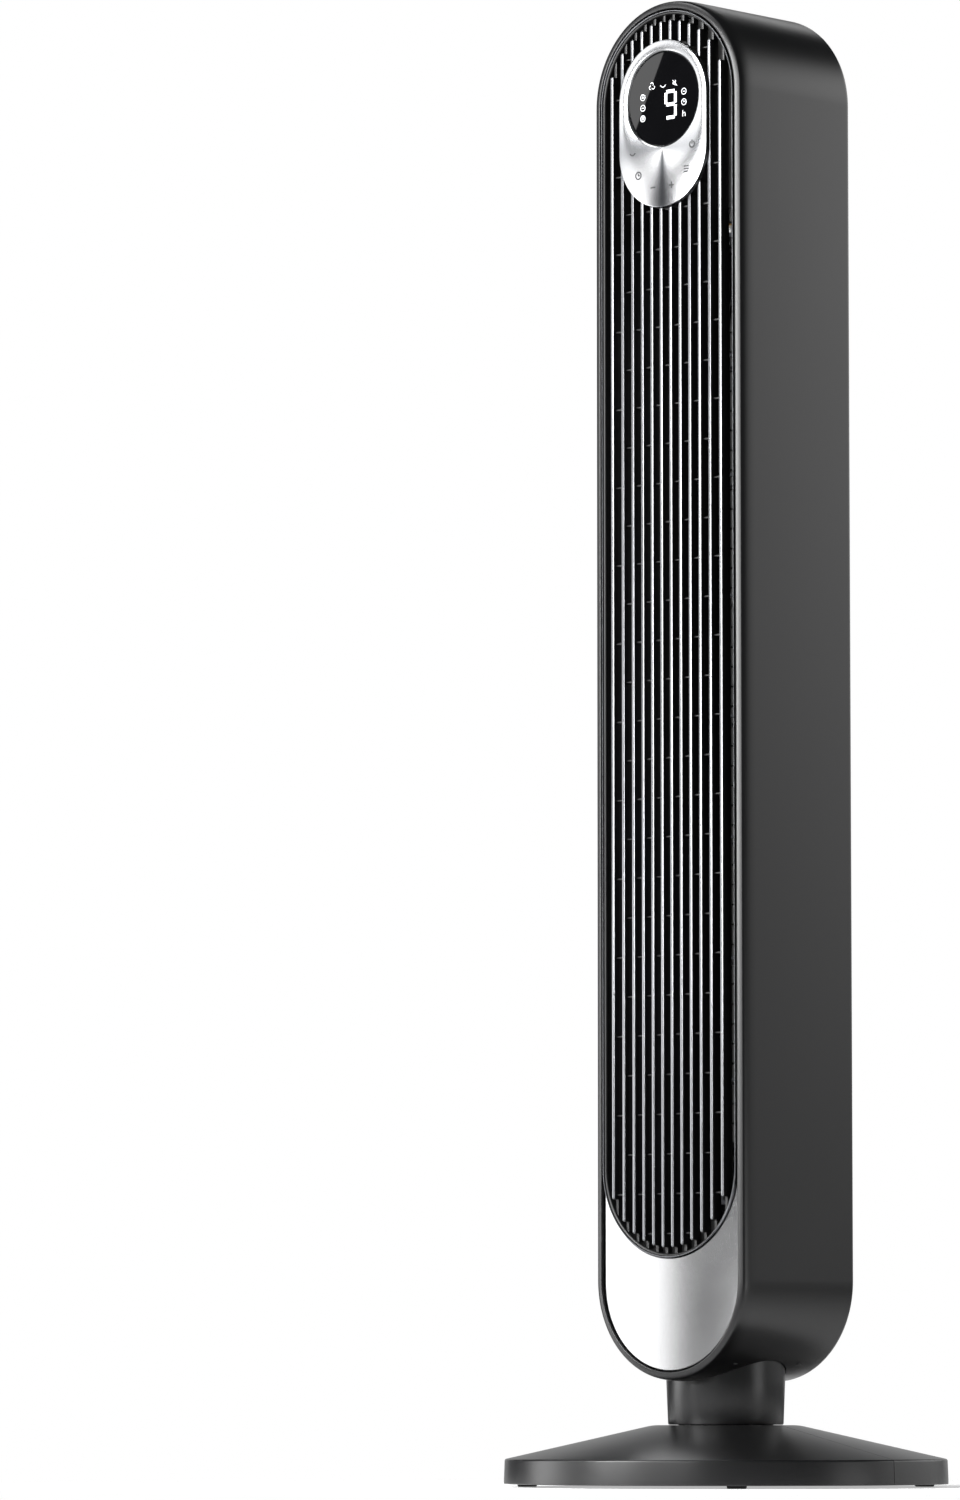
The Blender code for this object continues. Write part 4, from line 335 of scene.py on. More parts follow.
def add_piece(name, shape, material, body, replaced=(), sharp=35):
    """Finish a bmesh as a piece: its faces and shading, its body, its CAD nodes."""
    bmesh.ops.remove_doubles(shape, verts=shape.verts, dist=WELD)
    bmesh.ops.recalc_face_normals(shape, faces=shape.faces)
    mesh = bpy.data.meshes.new(name)
    shape.to_mesh(mesh)
    shape.free()
    mesh.shade_smooth()
    mesh.set_sharp_from_angle(angle=math.radians(sharp))
    mesh.materials.clear()
    mesh.materials.append(material)
    piece = bpy.data.objects.new(name, mesh)
    bpy.context.scene.collection.objects.link(piece)
    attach(piece, body)
    if replaced:
        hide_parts(*replaced)
    return piece


CLOUDS_PER_METRE = 7.0
GLOSS_DRIFT = 0.03
TONE_DRIFT = 0.85
GRAIN_RELIEF = 8000


def moulded_plastic(name, colour, roughness, grain_mm, grain_depth, **constants):
    """Injection-moulded plastic: a spark-eroded grain, and a slight drift of gloss and tone."""
    material, tree, shader = new_material(name, **constants)
    place = add_node(tree, "ShaderNodeTexCoord")
    grain = add_node(
        tree,
        "ShaderNodeTexNoise",
        {"Vector": place.outputs["Object"], "Scale": 1000 / grain_mm, "Detail": 2.0},
    )
    drift = add_node(
        tree,
        "ShaderNodeTexNoise",
        {"Vector": place.outputs["Object"], "Scale": CLOUDS_PER_METRE, "Detail": 4.0},
    )
    gloss = add_node(
        tree,
        "ShaderNodeMapRange",
        {
            "Value": drift.outputs["Fac"],
            "To Min": roughness - GLOSS_DRIFT,
            "To Max": roughness + GLOSS_DRIFT,
        },
    )
    darker = tuple(channel * TONE_DRIFT for channel in linear(colour)[:3]) + (1.0,)
    tone = add_node(
        tree,
        "ShaderNodeMix",
        {"Factor": drift.outputs["Fac"], 6: darker, 7: linear(colour)},
        data_type="RGBA",
    )
    bump = add_node(
        tree,
        "ShaderNodeBump",
        {
            "Height": grain.outputs["Fac"],
            "Strength": grain_depth,
            "Distance": grain_mm / GRAIN_RELIEF,
        },
    )
    tree.links.new(tone.outputs[2], shader.inputs["Base Color"])
    tree.links.new(gloss.outputs["Result"], shader.inputs["Roughness"])
    tree.links.new(bump.outputs["Normal"], shader.inputs["Normal"])
    return material


# Satin ABS: nearly black, with broad soft reflections off a fine 0.6 mm grain.
satin_black_abs = moulded_plastic("satin_black_abs", "#171718", 0.30, 0.6, 0.12, IOR=1.54)

rear_low, rear_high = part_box("base_rear_half")
BASE_RADIUS = rear_high.y
BASE_TOP = rear_high.z
BASE_UNDER = rear_low.z
BASE_SIDE_DRAFT = 0.0007
BASE_EDGE_HEIGHT = 0.0200
BASE_EDGE_ROUND = 0.0016
BASE_EDGE_STEPS = 6
BASE_TOP_RADIUS = 0.0528
BASE_TOP_ROUND = 0.0030
BASE_WALL = 0.0030
BASE_BORE = 0.0343
BASE_HEM = 0.0006
BASE_FOOT_DRAFT = 0.0001
BASE_FOOT_EASE = 0.0005
BASE_INNER_STEP = 0.0010
BASE_JOINT = 0.00022
BASE_STEPS = 96
WEB_ANGLES = (30, 60, 120, 150)
WEB_START = 0.0510
WEB_HALF_WIDTH = 0.0010
WEB_DEPTH = 0.0060
WEB_SINK = 0.0018

edge_radius = BASE_RADIUS - BASE_SIDE_DRAFT
slope = (BASE_TOP - BASE_EDGE_HEIGHT) / (edge_radius - BASE_TOP_RADIUS)
lean = math.atan(slope)
profile = [
    (BASE_BORE, BASE_TOP),
    (BASE_TOP_RADIUS - BASE_TOP_ROUND, BASE_TOP),
    (BASE_TOP_RADIUS, BASE_TOP - slope * BASE_TOP_ROUND * 0.4),
    (BASE_TOP_RADIUS + BASE_TOP_ROUND, BASE_TOP - slope * BASE_TOP_ROUND * 1.2),
]
for step in range(BASE_EDGE_STEPS + 1):
    angle = (math.pi / 2 - lean) * (1 - step / BASE_EDGE_STEPS)
    x = edge_radius - BASE_EDGE_ROUND * (1 - math.cos(angle))
    z = BASE_EDGE_HEIGHT - BASE_EDGE_ROUND * (1 - math.sin(angle))
    profile.append((x, z))
profile += [
    (BASE_RADIUS - BASE_FOOT_DRAFT, BASE_UNDER + BASE_HEM),
    (BASE_RADIUS - BASE_FOOT_EASE, BASE_UNDER),
    (BASE_RADIUS - BASE_WALL, BASE_UNDER),
    (edge_radius - BASE_WALL, BASE_EDGE_HEIGHT - BASE_WALL - BASE_HEM),
    (BASE_TOP_RADIUS - BASE_INNER_STEP, BASE_TOP - BASE_WALL),
    (BASE_BORE, BASE_TOP - BASE_WALL),
]
for name, node, start in (
    ("base_shell_front", "base_front_half", math.pi),
    ("base_shell_rear", "base_rear_half", 0.0),
):
    edge_y = math.copysign(BASE_JOINT, math.sin(start + math.pi / 2))
    loops = []
    for step in range(BASE_STEPS + 1):
        angle = start + math.pi * step / BASE_STEPS
        at_joint = step in (0, BASE_STEPS)
        loop = []
        for radius, height in profile:
            y = edge_y if at_joint else radius * math.sin(angle)
            loop.append((radius * math.cos(angle), y, height))
        loops.append(loop)
    shapes = [bridged(loops)]
    outer = edge_radius - BASE_WALL / 2
    web = [
        (WEB_START, BASE_TOP - BASE_WALL - WEB_DEPTH),
        (outer, BASE_EDGE_HEIGHT - BASE_WALL - WEB_DEPTH),
        (outer, BASE_EDGE_HEIGHT - WEB_SINK),
        (WEB_START, BASE_TOP - WEB_SINK),
    ]
    for angle in WEB_ANGLES:
        turn = Matrix.Rotation(start + math.radians(angle), 3, "Z")
        sides = (-WEB_HALF_WIDTH, WEB_HALF_WIDTH)
        shapes.append(bridged([[turn @ Vector((x, y, z)) for x, z in web] for y in sides]))
    add_piece(name, gathered(shapes), satin_black_abs, "base", [node])

# ---------------------------------------------------------------- feet, nut and cord gland
# Four soft rubber feet pushed into bosses, a ribbed grey polypropylene nut that clamps the
# two halves to the neck, and the moulded collar where the mains lead goes in.

# Natural rubber, moulded: matt, slightly dusty black with no clear reflection.
black_rubber = moulded_plastic("black_rubber", "#141414", 0.80, 0.9, 0.25, IOR=1.52)
# Polypropylene, moulded: mid grey, waxy and soft in its highlights.
grey_polypropylene = moulded_plastic("grey_polypropylene", "#43444a", 0.48, 0.8, 0.18, IOR=1.49)
# Soft PVC: black, a little glossier than the rubber.
black_pvc = moulded_plastic("black_pvc", "#161616", 0.45, 0.7, 0.18, IOR=1.53)

FOOT_EASE = 0.0009
FOOT_GROOVE = 0.0007
FOOT_DISH = 0.0022
FOOT_LAND = 0.0016
FOOT_SIDES = 40
for index in range(4):
    node = f"rubber_foot_{index + 1}"
    low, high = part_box(node)
    radius = (high.x - low.x) / 2
    profile = [
        (radius - FOOT_EASE - FOOT_DISH, low.z + FOOT_GROOVE),
        (radius - FOOT_EASE - FOOT_LAND, low.z),
        (radius - FOOT_EASE, low.z),
        (radius - FOOT_EASE * 0.3, low.z + FOOT_EASE * 0.3),
        (radius, low.z + FOOT_EASE),
        (radius, high.z),
    ]
    centre = ((low.x + high.x) / 2, (low.y + high.y) / 2, 0)
    shape = turned(profile, FOOT_SIDES, centre)
    add_piece(f"foot_{index + 1}", shape, black_rubber, "base", [node])


def dress(material, *names):
    """Give CAD nodes that keep their own shape a finished material."""
    for name in names:
        nodes[name].data.materials.clear()
        nodes[name].data.materials.append(material)


dress(grey_polypropylene, "base_nut")

low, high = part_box("cord_gland")
GLAND_BORE = 0.0036
GLAND_RIBS = 3
GLAND_FIRST_RIB = 0.45
GLAND_RIB_STEP = 0.16
GLAND_GROOVE = 0.0010
GLAND_GROOVE_DEPTH = 0.0007
GLAND_EASE = 0.0006
GLAND_LEAD = 0.0005
GLAND_SIDES = 40
outer = (high.x - low.x) / 2
centre = (0, low.y, (low.z + high.z) / 2)
length = high.y - low.y
profile = [(GLAND_BORE, 0), (outer, 0)]
for rib in range(GLAND_RIBS):
    start = length * (GLAND_FIRST_RIB + GLAND_RIB_STEP * rib)
    profile += [
        (outer, start),
        (outer - GLAND_GROOVE_DEPTH, start + GLAND_GROOVE * 0.2),
        (outer - GLAND_GROOVE_DEPTH, start + GLAND_GROOVE * 0.8),
        (outer, start + GLAND_GROOVE),
    ]
profile += [
    (outer, length - GLAND_EASE),
    (outer - GLAND_LEAD, length),
    (GLAND_BORE, length),
]
shape = turned(profile, GLAND_SIDES, centre, "Y", ring=True)
add_piece("cord_collar", shape, black_pvc, "base", ["cord_gland"])

# ---------------------------------------------------------------- neck
# One round satin ABS column, a little wider at the top, with a thick pivot tube on top of it
# that the head turns on. The mains lead runs up inside.
NECK_STEPS = 96
NECK_FOOT_EASE = 0.0010
neck_low, neck_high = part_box("neck_column")
CLEARANCE = 0.0003
NECK_TAPER = 0.0012
NECK_RADIUS = neck_high.x
NECK_FOOT_RADIUS = NECK_RADIUS - NECK_TAPER
NECK_FOOT = BASE_TOP + CLEARANCE
HEAD_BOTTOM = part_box("housing_shell")[0].z
NECK_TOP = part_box("glide_ring")[0].z - CLEARANCE
STUB_RADIUS = 0.0340
PIVOT_RADIUS = 0.0135
PIVOT_BORE = 0.0085
PIVOT_EASE = 0.0005
NECK_WALL = 0.0030
profile = [
    (STUB_RADIUS, neck_low.z),
    (STUB_RADIUS, NECK_FOOT),
    (NECK_FOOT_RADIUS - NECK_FOOT_EASE, NECK_FOOT),
    (NECK_FOOT_RADIUS - NECK_FOOT_EASE * 0.3, NECK_FOOT + NECK_FOOT_EASE * 0.3),
    (NECK_FOOT_RADIUS, NECK_FOOT + NECK_FOOT_EASE),
    (NECK_RADIUS, HEAD_BOTTOM),
    (NECK_RADIUS, NECK_TOP),
    (PIVOT_RADIUS, NECK_TOP),
    (PIVOT_RADIUS, neck_high.z - PIVOT_EASE),
    (PIVOT_RADIUS - PIVOT_EASE, neck_high.z),
    (PIVOT_BORE, neck_high.z),
    (PIVOT_BORE, NECK_TOP - NECK_WALL),
    (NECK_FOOT_RADIUS - NECK_WALL, NECK_TOP - NECK_WALL),
    (NECK_FOOT_RADIUS - NECK_WALL, NECK_FOOT + NECK_WALL),
    (STUB_RADIUS - NECK_WALL, NECK_FOOT + NECK_WALL),
    (STUB_RADIUS - NECK_WALL, neck_low.z),
]
shape = turned(profile, NECK_STEPS, ring=True)
add_piece("neck", shape, satin_black_abs, "base", ["neck_column"])

# ---------------------------------------------------------------- swing drive
# The turntable that carries the head, the acetal gear fixed on the neck, the pinion and its
# small synchronous motor on a bent bracket. They are hidden inside the bottom of the head.


SHINY_SIDE = 0.05
ROUGH_SIDE = 0.07
METAL_GRAIN_DEPTH = 0.08
METAL_RELIEF = 20000


def sheet_metal(name, colour, roughness, grain_mm, contrast, kind="ShaderNodeTexVoronoi"):
    """Bare or plated metal: a grain of brighter and duller patches, with a little relief."""
    material, tree, shader = new_material(name, Metallic=1.0)
    place = add_node(tree, "ShaderNodeTexCoord")
    grain = add_node(tree, kind, {"Vector": place.outputs["Object"], "Scale": 1000 / grain_mm})
    value = grain.outputs["Color" if kind == "ShaderNodeTexVoronoi" else "Fac"]
    dull = tuple(channel * (1 - contrast) for channel in linear(colour)[:3]) + (1.0,)
    tone = add_node(
        tree,
        "ShaderNodeMix",
        {"Factor": value, 6: dull, 7: linear(colour)},
        data_type="RGBA",
    )
    gloss = add_node(
        tree,
        "ShaderNodeMapRange",
        {"Value": value, "To Min": roughness - SHINY_SIDE, "To Max": roughness + ROUGH_SIDE},
    )
    bump = add_node(
        tree,
        "ShaderNodeBump",
        {
            "Height": value,
            "Strength": METAL_GRAIN_DEPTH,
            "Distance": grain_mm / METAL_RELIEF,
        },
    )
    tree.links.new(tone.outputs[2], shader.inputs["Base Color"])
    tree.links.new(gloss.outputs["Result"], shader.inputs["Roughness"])
    tree.links.new(bump.outputs["Normal"], shader.inputs["Normal"])
    return material


# Hot-dip galvanised sheet: grey with 4 mm spangles of differing brightness.
galvanised_sheet = sheet_metal("galvanised_sheet", "#b4b8bb", 0.38, 4.0, 0.30)
# Bright zinc plate on steel: slightly blue, with a fine cloudy variation.
zinc_plated_steel = sheet_metal(
    "zinc_plated_steel", "#c3c6cc", 0.30, 1.5, 0.20, "ShaderNodeTexNoise"
)
# Ground steel shaft: bright, with very fine marks, drawn at 0.4 mm so that they show.
ground_steel = sheet_metal("ground_steel", "#c6c6c4", 0.20, 0.4, 0.12, "ShaderNodeTexNoise")
# Sintered bronze: warm and speckled by its pores, drawn at 0.3 mm.
sintered_bronze = sheet_metal("sintered_bronze", "#a8814a", 0.42, 0.3, 0.35)
# Acetal: milky white, smooth and faintly waxy.
white_acetal = moulded_plastic("white_acetal", "#e3e2dc", 0.33, 0.9, 0.06, IOR=1.48)

dress(grey_polypropylene, "swivel_turntable")
dress(white_acetal, "glide_ring", "fixed_gear", "swing_pinion")
dress(zinc_plated_steel, "pivot_circlip")
dress(galvanised_sheet, "swing_bracket", "swing_motor")
dress(ground_steel, "swing_motor_shaft")

# ---------------------------------------------------------------- head casing
# One deep satin ABS shell, moulded as a stadium with a broadly rounded front edge. It has a
# shelf inside for the front pieces, bosses for screws and a round hole underneath for the neck.
ARC_STEPS = 72


def stadium_loop(half_width, y, low_centre, high_centre, steps=ARC_STEPS):
    """Points of an upright stadium in a plane of constant y."""
    points = []
    for centre, start in ((high_centre, 0.0), (low_centre, math.pi)):
        for step in range(steps + 1):
            angle = start + math.pi * step / steps
            points.append((half_width * math.cos(angle), y, centre + half_width * math.sin(angle)))
    return points


def stadium(section, low_centre, high_centre, ring=False, steps=ARC_STEPS):
    """Sweep (half width, y) points round an upright stadium."""
    loops = [stadium_loop(half, y, low_centre, high_centre, steps) for half, y in section]
    return bridged(loops, ring=ring)


def carved(shape, cutter):
    """The shape less the closed solids of a cutter."""
    scraps = []
    for part in (shape, cutter):
        bmesh.ops.remove_doubles(part, verts=part.verts, dist=WELD)
        bmesh.ops.recalc_face_normals(part, faces=part.faces)
        mesh = bpy.data.meshes.new("scrap")
        part.to_mesh(mesh)
        part.free()
        scrap = bpy.data.objects.new("scrap", mesh)
        bpy.context.scene.collection.objects.link(scrap)
        scraps.append(scrap)
    modifier = scraps[0].modifiers.new("cut", "BOOLEAN")
    modifier.operation = "DIFFERENCE"
    modifier.solver = "EXACT"
    modifier.object = scraps[1]
    left = bmesh.new()
    left.from_object(scraps[0], bpy.context.evaluated_depsgraph_get())
    for scrap in scraps:
        mesh = scrap.data
        bpy.data.objects.remove(scrap)
        bpy.data.meshes.remove(mesh)
    return left


casing_low, casing_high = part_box("housing_shell")
HEAD_HALF_WIDTH = casing_high.x
HEAD_TOP = casing_high.z
HEAD_FRONT = -casing_low.y
HEAD_BACK = casing_high.y
HEAD_LOW_CENTRE = HEAD_BOTTOM + HEAD_HALF_WIDTH
HEAD_HIGH_CENTRE = HEAD_TOP - HEAD_HALF_WIDTH
FRONT_ROUND_WIDTH = 0.0058
FRONT_ROUND_DEPTH = 0.0145
CROWN_WIDTH = 0.0038
CROWN_START = math.radians(6)
CROWN_TURN = math.radians(24)
CROWN_STEPS = 6
BACK_ROUND = 0.0050
BACK_LIP = 0.0055
LIP_WIDTH = 0.0063
LEDGE_WIDTH = 0.0047
WALL = 0.0025
LIP_HALF_WIDTH = HEAD_HALF_WIDTH - LIP_WIDTH
LEDGE_HALF_WIDTH = LIP_HALF_WIDTH - LEDGE_WIDTH
LEDGE_FRONT = 0.0477
LEDGE_BACK = 0.0455
INNER_HALF_WIDTH = HEAD_HALF_WIDTH - WALL
LIP_DEPTH = 0.0030
LIP_FOOT = 0.0055
LIP_FOOT_WIDTH = 0.0012
INNER_EASE = 0.0006
SHELF_EASE = 0.0011
ROUND_STEPS = 14
BACK_STEPS = 8
cover_low, cover_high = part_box("rear_cover")
COVER_OUTER = cover_high.y
COVER_THICKNESS = 0.0030
COVER_INNER = COVER_OUTER - COVER_THICKNESS
SHELF_BACK = COVER_INNER - CLEARANCE

LIP_EDGE = 0.0002
HOLE_OVERRUN = 0.01
section = [
    (LIP_HALF_WIDTH, LIP_EDGE * 7 - HEAD_FRONT),
    (LIP_HALF_WIDTH + LIP_EDGE * 0.3, LIP_EDGE * 3 - HEAD_FRONT),
    (LIP_HALF_WIDTH + LIP_EDGE, LIP_EDGE - HEAD_FRONT),
]
crown_radius = CROWN_WIDTH / (math.sin(CROWN_TURN) - math.sin(CROWN_START))
for step in range(CROWN_STEPS + 1):
    angle = CROWN_START + (CROWN_TURN - CROWN_START) * step / CROWN_STEPS
    across = crown_radius * (math.sin(angle) - math.sin(CROWN_START))
    back = crown_radius * (math.cos(CROWN_START) - math.cos(angle))
    section.append((HEAD_HALF_WIDTH - FRONT_ROUND_WIDTH + across, back - HEAD_FRONT))
crown_foot = Vector(section[-1])
corner = Vector((
    HEAD_HALF_WIDTH,
    crown_foot.y + (HEAD_HALF_WIDTH - crown_foot.x) * math.tan(CROWN_TURN),
))
side_start = Vector((HEAD_HALF_WIDTH, FRONT_ROUND_DEPTH - HEAD_FRONT))
for step in range(1, ROUND_STEPS + 1):
    part = step / ROUND_STEPS
    near, far = crown_foot.lerp(corner, part), corner.lerp(side_start, part)
    section.append(tuple(near.lerp(far, part)))
for step in range(BACK_STEPS + 1):
    angle = math.pi / 2 * step / BACK_STEPS
    half_width = HEAD_HALF_WIDTH - BACK_ROUND * (1 - math.cos(angle))
    section.append((half_width, HEAD_BACK - BACK_ROUND * (1 - math.sin(angle))))
section += [
    (HEAD_HALF_WIDTH - BACK_LIP, HEAD_BACK),
    (HEAD_HALF_WIDTH - BACK_LIP, SHELF_BACK),
    (INNER_HALF_WIDTH - INNER_EASE, SHELF_BACK),
    (INNER_HALF_WIDTH, SHELF_BACK - SHELF_EASE),
    (INNER_HALF_WIDTH, -LEDGE_BACK),
    (LEDGE_HALF_WIDTH, -LEDGE_BACK),
    (LEDGE_HALF_WIDTH, -LEDGE_FRONT),
    (INNER_HALF_WIDTH - INNER_EASE, -LEDGE_FRONT),
    (LIP_HALF_WIDTH + LIP_FOOT_WIDTH, LIP_FOOT - HEAD_FRONT),
    (LIP_HALF_WIDTH, LIP_DEPTH - HEAD_FRONT),
]
shell = stadium(section, HEAD_LOW_CENTRE, HEAD_HIGH_CENTRE, ring=True)
NECK_HOLE_GAP = 0.0008
neck_hole = NECK_RADIUS + NECK_HOLE_GAP
below_head = HEAD_BOTTOM - HOLE_OVERRUN
tool = turned([(neck_hole, below_head), (neck_hole, NECK_TOP)], NECK_STEPS)
shell = carved(shell, tool)
BOSS_RADIUS = 0.0045
BOSS_BORE = 0.0018
BOSS_FLOOR = 0.0008
BOSS_CORE = 0.0002
BOSS_SIDES = 32
bosses = [shell]
for index in range(4):
    low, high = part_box(f"turntable_screw_{index + 1}")
    centre = ((low.x + high.x) / 2, (low.y + high.y) / 2, 0)
    seat = HEAD_LOW_CENTRE - math.sqrt(INNER_HALF_WIDTH ** 2 - centre[0] ** 2) - BOSS_FLOOR
    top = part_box("swivel_turntable")[0].z - CLEARANCE
    profile = [(BOSS_BORE, low.z - BOSS_FLOOR), (BOSS_BORE, top), (BOSS_RADIUS, top)]
    profile += [(BOSS_RADIUS, seat), (BOSS_CORE, seat), (BOSS_CORE, low.z - BOSS_FLOOR)]
    bosses.append(turned(profile, BOSS_SIDES, centre, ring=True))
add_piece(
    "casing",
    gathered(bosses),
    satin_black_abs,
    "head",
    ["housing_shell"],
    sharp=50,
)

# ---------------------------------------------------------------- outlet grille
# Moulded black ABS in one shot: a rim, twelve upright slats and short cross ribs between them,
# laid like bricks. A hot-stamped silver foil covers the slats' faces and a bead round the rim.


def bar_tree(name):
    """Geometry Nodes: a bar of rounded rectangular section along each guide line."""
    tree = bpy.data.node_groups.new(name, "GeometryNodeTree")
    face = tree.interface
    face.new_socket("Guides", in_out="INPUT", socket_type="NodeSocketGeometry")
    for size in ("Width", "Depth", "Rounding"):
        face.new_socket(size, in_out="INPUT", socket_type="NodeSocketFloat")
    face.new_socket("Material", in_out="INPUT", socket_type="NodeSocketMaterial")
    face.new_socket("Bars", in_out="OUTPUT", socket_type="NodeSocketGeometry")
    start = add_node(tree, "NodeGroupInput")
    facing = add_node(
        tree,
        "GeometryNodeInputNamedAttribute",
        {"Name": "facing"},
        data_type="FLOAT_VECTOR",
    )
    girth = add_node(tree, "GeometryNodeInputNamedAttribute", {"Name": "girth"}, data_type="FLOAT")
    line = add_node(tree, "GeometryNodeMeshToCurve", {"Mesh": start.outputs["Guides"]})
    faced = add_node(
        tree,
        "GeometryNodeSetCurveNormal",
        {"Curve": line.outputs["Curve"], "Normal": facing.outputs["Attribute"]},
        mode="FREE",
    )
    outline = add_node(
        tree,
        "GeometryNodeCurvePrimitiveQuadrilateral",
        {"Width": start.outputs["Depth"], "Height": start.outputs["Width"]},
    )
    rounded = add_node(
        tree,
        "GeometryNodeFilletCurve",
        {
            "Curve": outline.outputs["Curve"],
            "Count": 2,
            "Radius": start.outputs["Rounding"],
            "Limit Radius": True,
        },
        mode="POLY",
    )
    bars = add_node(
        tree,
        "GeometryNodeCurveToMesh",
        {
            "Curve": faced.outputs["Curve"],
            "Profile Curve": rounded.outputs["Curve"],
            "Scale": girth.outputs["Attribute"],
            "Fill Caps": True,
        },
    )
    real = add_node(tree, "GeometryNodeRealizeInstances", {"Geometry": bars.outputs["Mesh"]})
    finished = add_node(
        tree,
        "GeometryNodeSetMaterial",
        {"Geometry": real.outputs["Geometry"], "Material": start.outputs["Material"]},
    )
    add_node(tree, "NodeGroupOutput", {"Bars": finished.outputs["Geometry"]})
    return tree


BAR_TREE = bar_tree("rounded_bars")


def modified(guides, tree, settings):
    """The mesh that a Geometry Nodes tree makes of a guide mesh, as a bmesh."""
    holder = bpy.data.objects.new("guides", guides)
    bpy.context.scene.collection.objects.link(holder)
    modifier = holder.modifiers.new("pattern", "NODES")
    modifier.node_group = tree
    for item in tree.interface.items_tree:
        if item.in_out == "INPUT" and item.name in settings:
            modifier[item.identifier] = settings[item.name]
    depsgraph = bpy.context.evaluated_depsgraph_get()
    made = bpy.data.meshes.new_from_object(holder.evaluated_get(depsgraph))
    holder.modifiers.remove(modifier)
    bpy.data.objects.remove(holder)
    shape = bmesh.new()
    shape.from_mesh(made)
    bpy.data.meshes.remove(made)
    return shape


def bars_along(lines, width, depth, rounding, material):
    """Bars along lines of (point, girth) pairs, each with the direction its depth faces."""
    points = [point for line, _ in lines for point, _ in line]
    girths = [girth for line, _ in lines for _, girth in line]
    facings = [component for line, facing in lines for _ in line for component in facing]
    edges = []
    first = 0
    for line, _ in lines:
        edges += [(first + step, first + step + 1) for step in range(len(line) - 1)]
        first += len(line)
    guides = bpy.data.meshes.new("guides")
    guides.from_pydata(points, edges, [])
    guides.attributes.new("girth", "FLOAT", "POINT").data.foreach_set("value", girths)
    guides.attributes.new("facing", "FLOAT_VECTOR", "POINT").data.foreach_set("vector", facings)
    settings = {"Width": width, "Depth": depth, "Rounding": rounding, "Material": material}
    shape = modified(guides, BAR_TREE, settings)
    bpy.data.meshes.remove(guides)
    return shape


# ABS, moulded with a plain tool: black, duller than the casing.
moulded_black_abs = moulded_plastic("moulded_black_abs", "#0c0c0d", 0.42, 0.7, 0.15, IOR=1.54)

# Hot-stamped foil: silver, bright but slightly pebbled by the plastic under it.
silver_foil, tree, shader = new_material("hot_stamped_silver_foil", Metallic=1.0)
place = add_node(tree, "ShaderNodeTexCoord")
PEBBLES_PER_METRE = 900.0
WEAR_PER_METRE = 25.0
pebble = add_node(
    tree,
    "ShaderNodeTexNoise",
    {"Vector": place.outputs["Object"], "Scale": PEBBLES_PER_METRE, "Detail": 2.0},
)
wear = add_node(
    tree,
    "ShaderNodeTexNoise",
    {"Vector": place.outputs["Object"], "Scale": WEAR_PER_METRE, "Detail": 5.0},
)
tone = add_node(
    tree,
    "ShaderNodeMix",
    {"Factor": wear.outputs["Fac"], 6: linear("#77787b"), 7: linear("#8d8e91")},
    data_type="RGBA",
)
gloss = add_node(
    tree,
    "ShaderNodeMapRange",
    {"Value": wear.outputs["Fac"], "To Min": 0.20, "To Max": 0.27},
)
bump = add_node(
    tree,
    "ShaderNodeBump",
    {"Height": pebble.outputs["Fac"], "Strength": 0.10, "Distance": 0.0001},
)
tree.links.new(tone.outputs[2], shader.inputs["Base Color"])
tree.links.new(gloss.outputs["Result"], shader.inputs["Roughness"])
tree.links.new(bump.outputs["Normal"], shader.inputs["Normal"])

grille_low, grille_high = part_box("front_grille")
GRILLE_HALF_WIDTH = grille_high.x
GRILLE_LOW_CENTRE = grille_low.z + GRILLE_HALF_WIDTH
SLAT_PROUD = 0.0022
GRILLE_FRONT = grille_low.y + SLAT_PROUD
GRILLE_BACK = grille_high.y
RIM_WIDTH = 0.0028
RIM_EASE = 0.0007
RIM_CORNER = 0.0002
RIM_SIDE = 0.0016
BEAD_WIDTH = 0.0011
BEAD_PROUD = 0.0012
BEAD_EASE = 0.0004
BEAD_CORNER = 0.0003
SLAT_COUNT = 12
SLAT_SIDE_GAP = 0.011594
SLAT_SPREAD = 0.00148
SLAT_WIDTH = 0.0024
SLAT_DEPTH = 0.0092
SLAT_FRONT = grille_low.y
FOIL_THICKNESS = 0.0006
FOIL_ROUNDING = 0.0002
SLAT_ROUNDING = 0.0003
SLAT_END_MARGIN = 0.0073
SLAT_END_OVERLAP = 0.0005
SLAT_TIP = 0.25
ROOT_SINK = 0.0017
ROOT_DEPTH = 0.0052
END_STEPS = 4
RIB_PITCH = 0.0566
RIB_TOP_DROP = 0.1800
RIB_HEIGHT = 0.0012
RIB_DEPTH = 0.0050
RIB_SETBACK = 0.0030
panel_low, panel_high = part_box("control_panel")
PANEL_HALF_WIDTH = panel_high.x
PANEL_TOP_CENTRE = panel_high.z - PANEL_HALF_WIDTH
PANEL_LOW_CENTRE = panel_low.z + PANEL_HALF_WIDTH
POD_GAP = 0.0006
POD_HOLE = PANEL_HALF_WIDTH + POD_GAP
TOOL_OVERRUN = 0.005

outer = GRILLE_HALF_WIDTH
inner = outer - RIM_WIDTH
rim = [
    (outer, GRILLE_BACK),
    (outer, GRILLE_FRONT + BEAD_PROUD),
    (outer - BEAD_WIDTH * 0.5, GRILLE_FRONT + BEAD_EASE),
    (outer - BEAD_WIDTH - BEAD_CORNER, GRILLE_FRONT),
    (inner + RIM_EASE, GRILLE_FRONT + RIM_CORNER),
    (inner + RIM_CORNER, GRILLE_FRONT + RIM_EASE),
    (inner, GRILLE_FRONT + RIM_SIDE),
    (inner, GRILLE_BACK),
]
rim_shape = stadium(rim, GRILLE_LOW_CENTRE, HEAD_HIGH_CENTRE, ring=True)

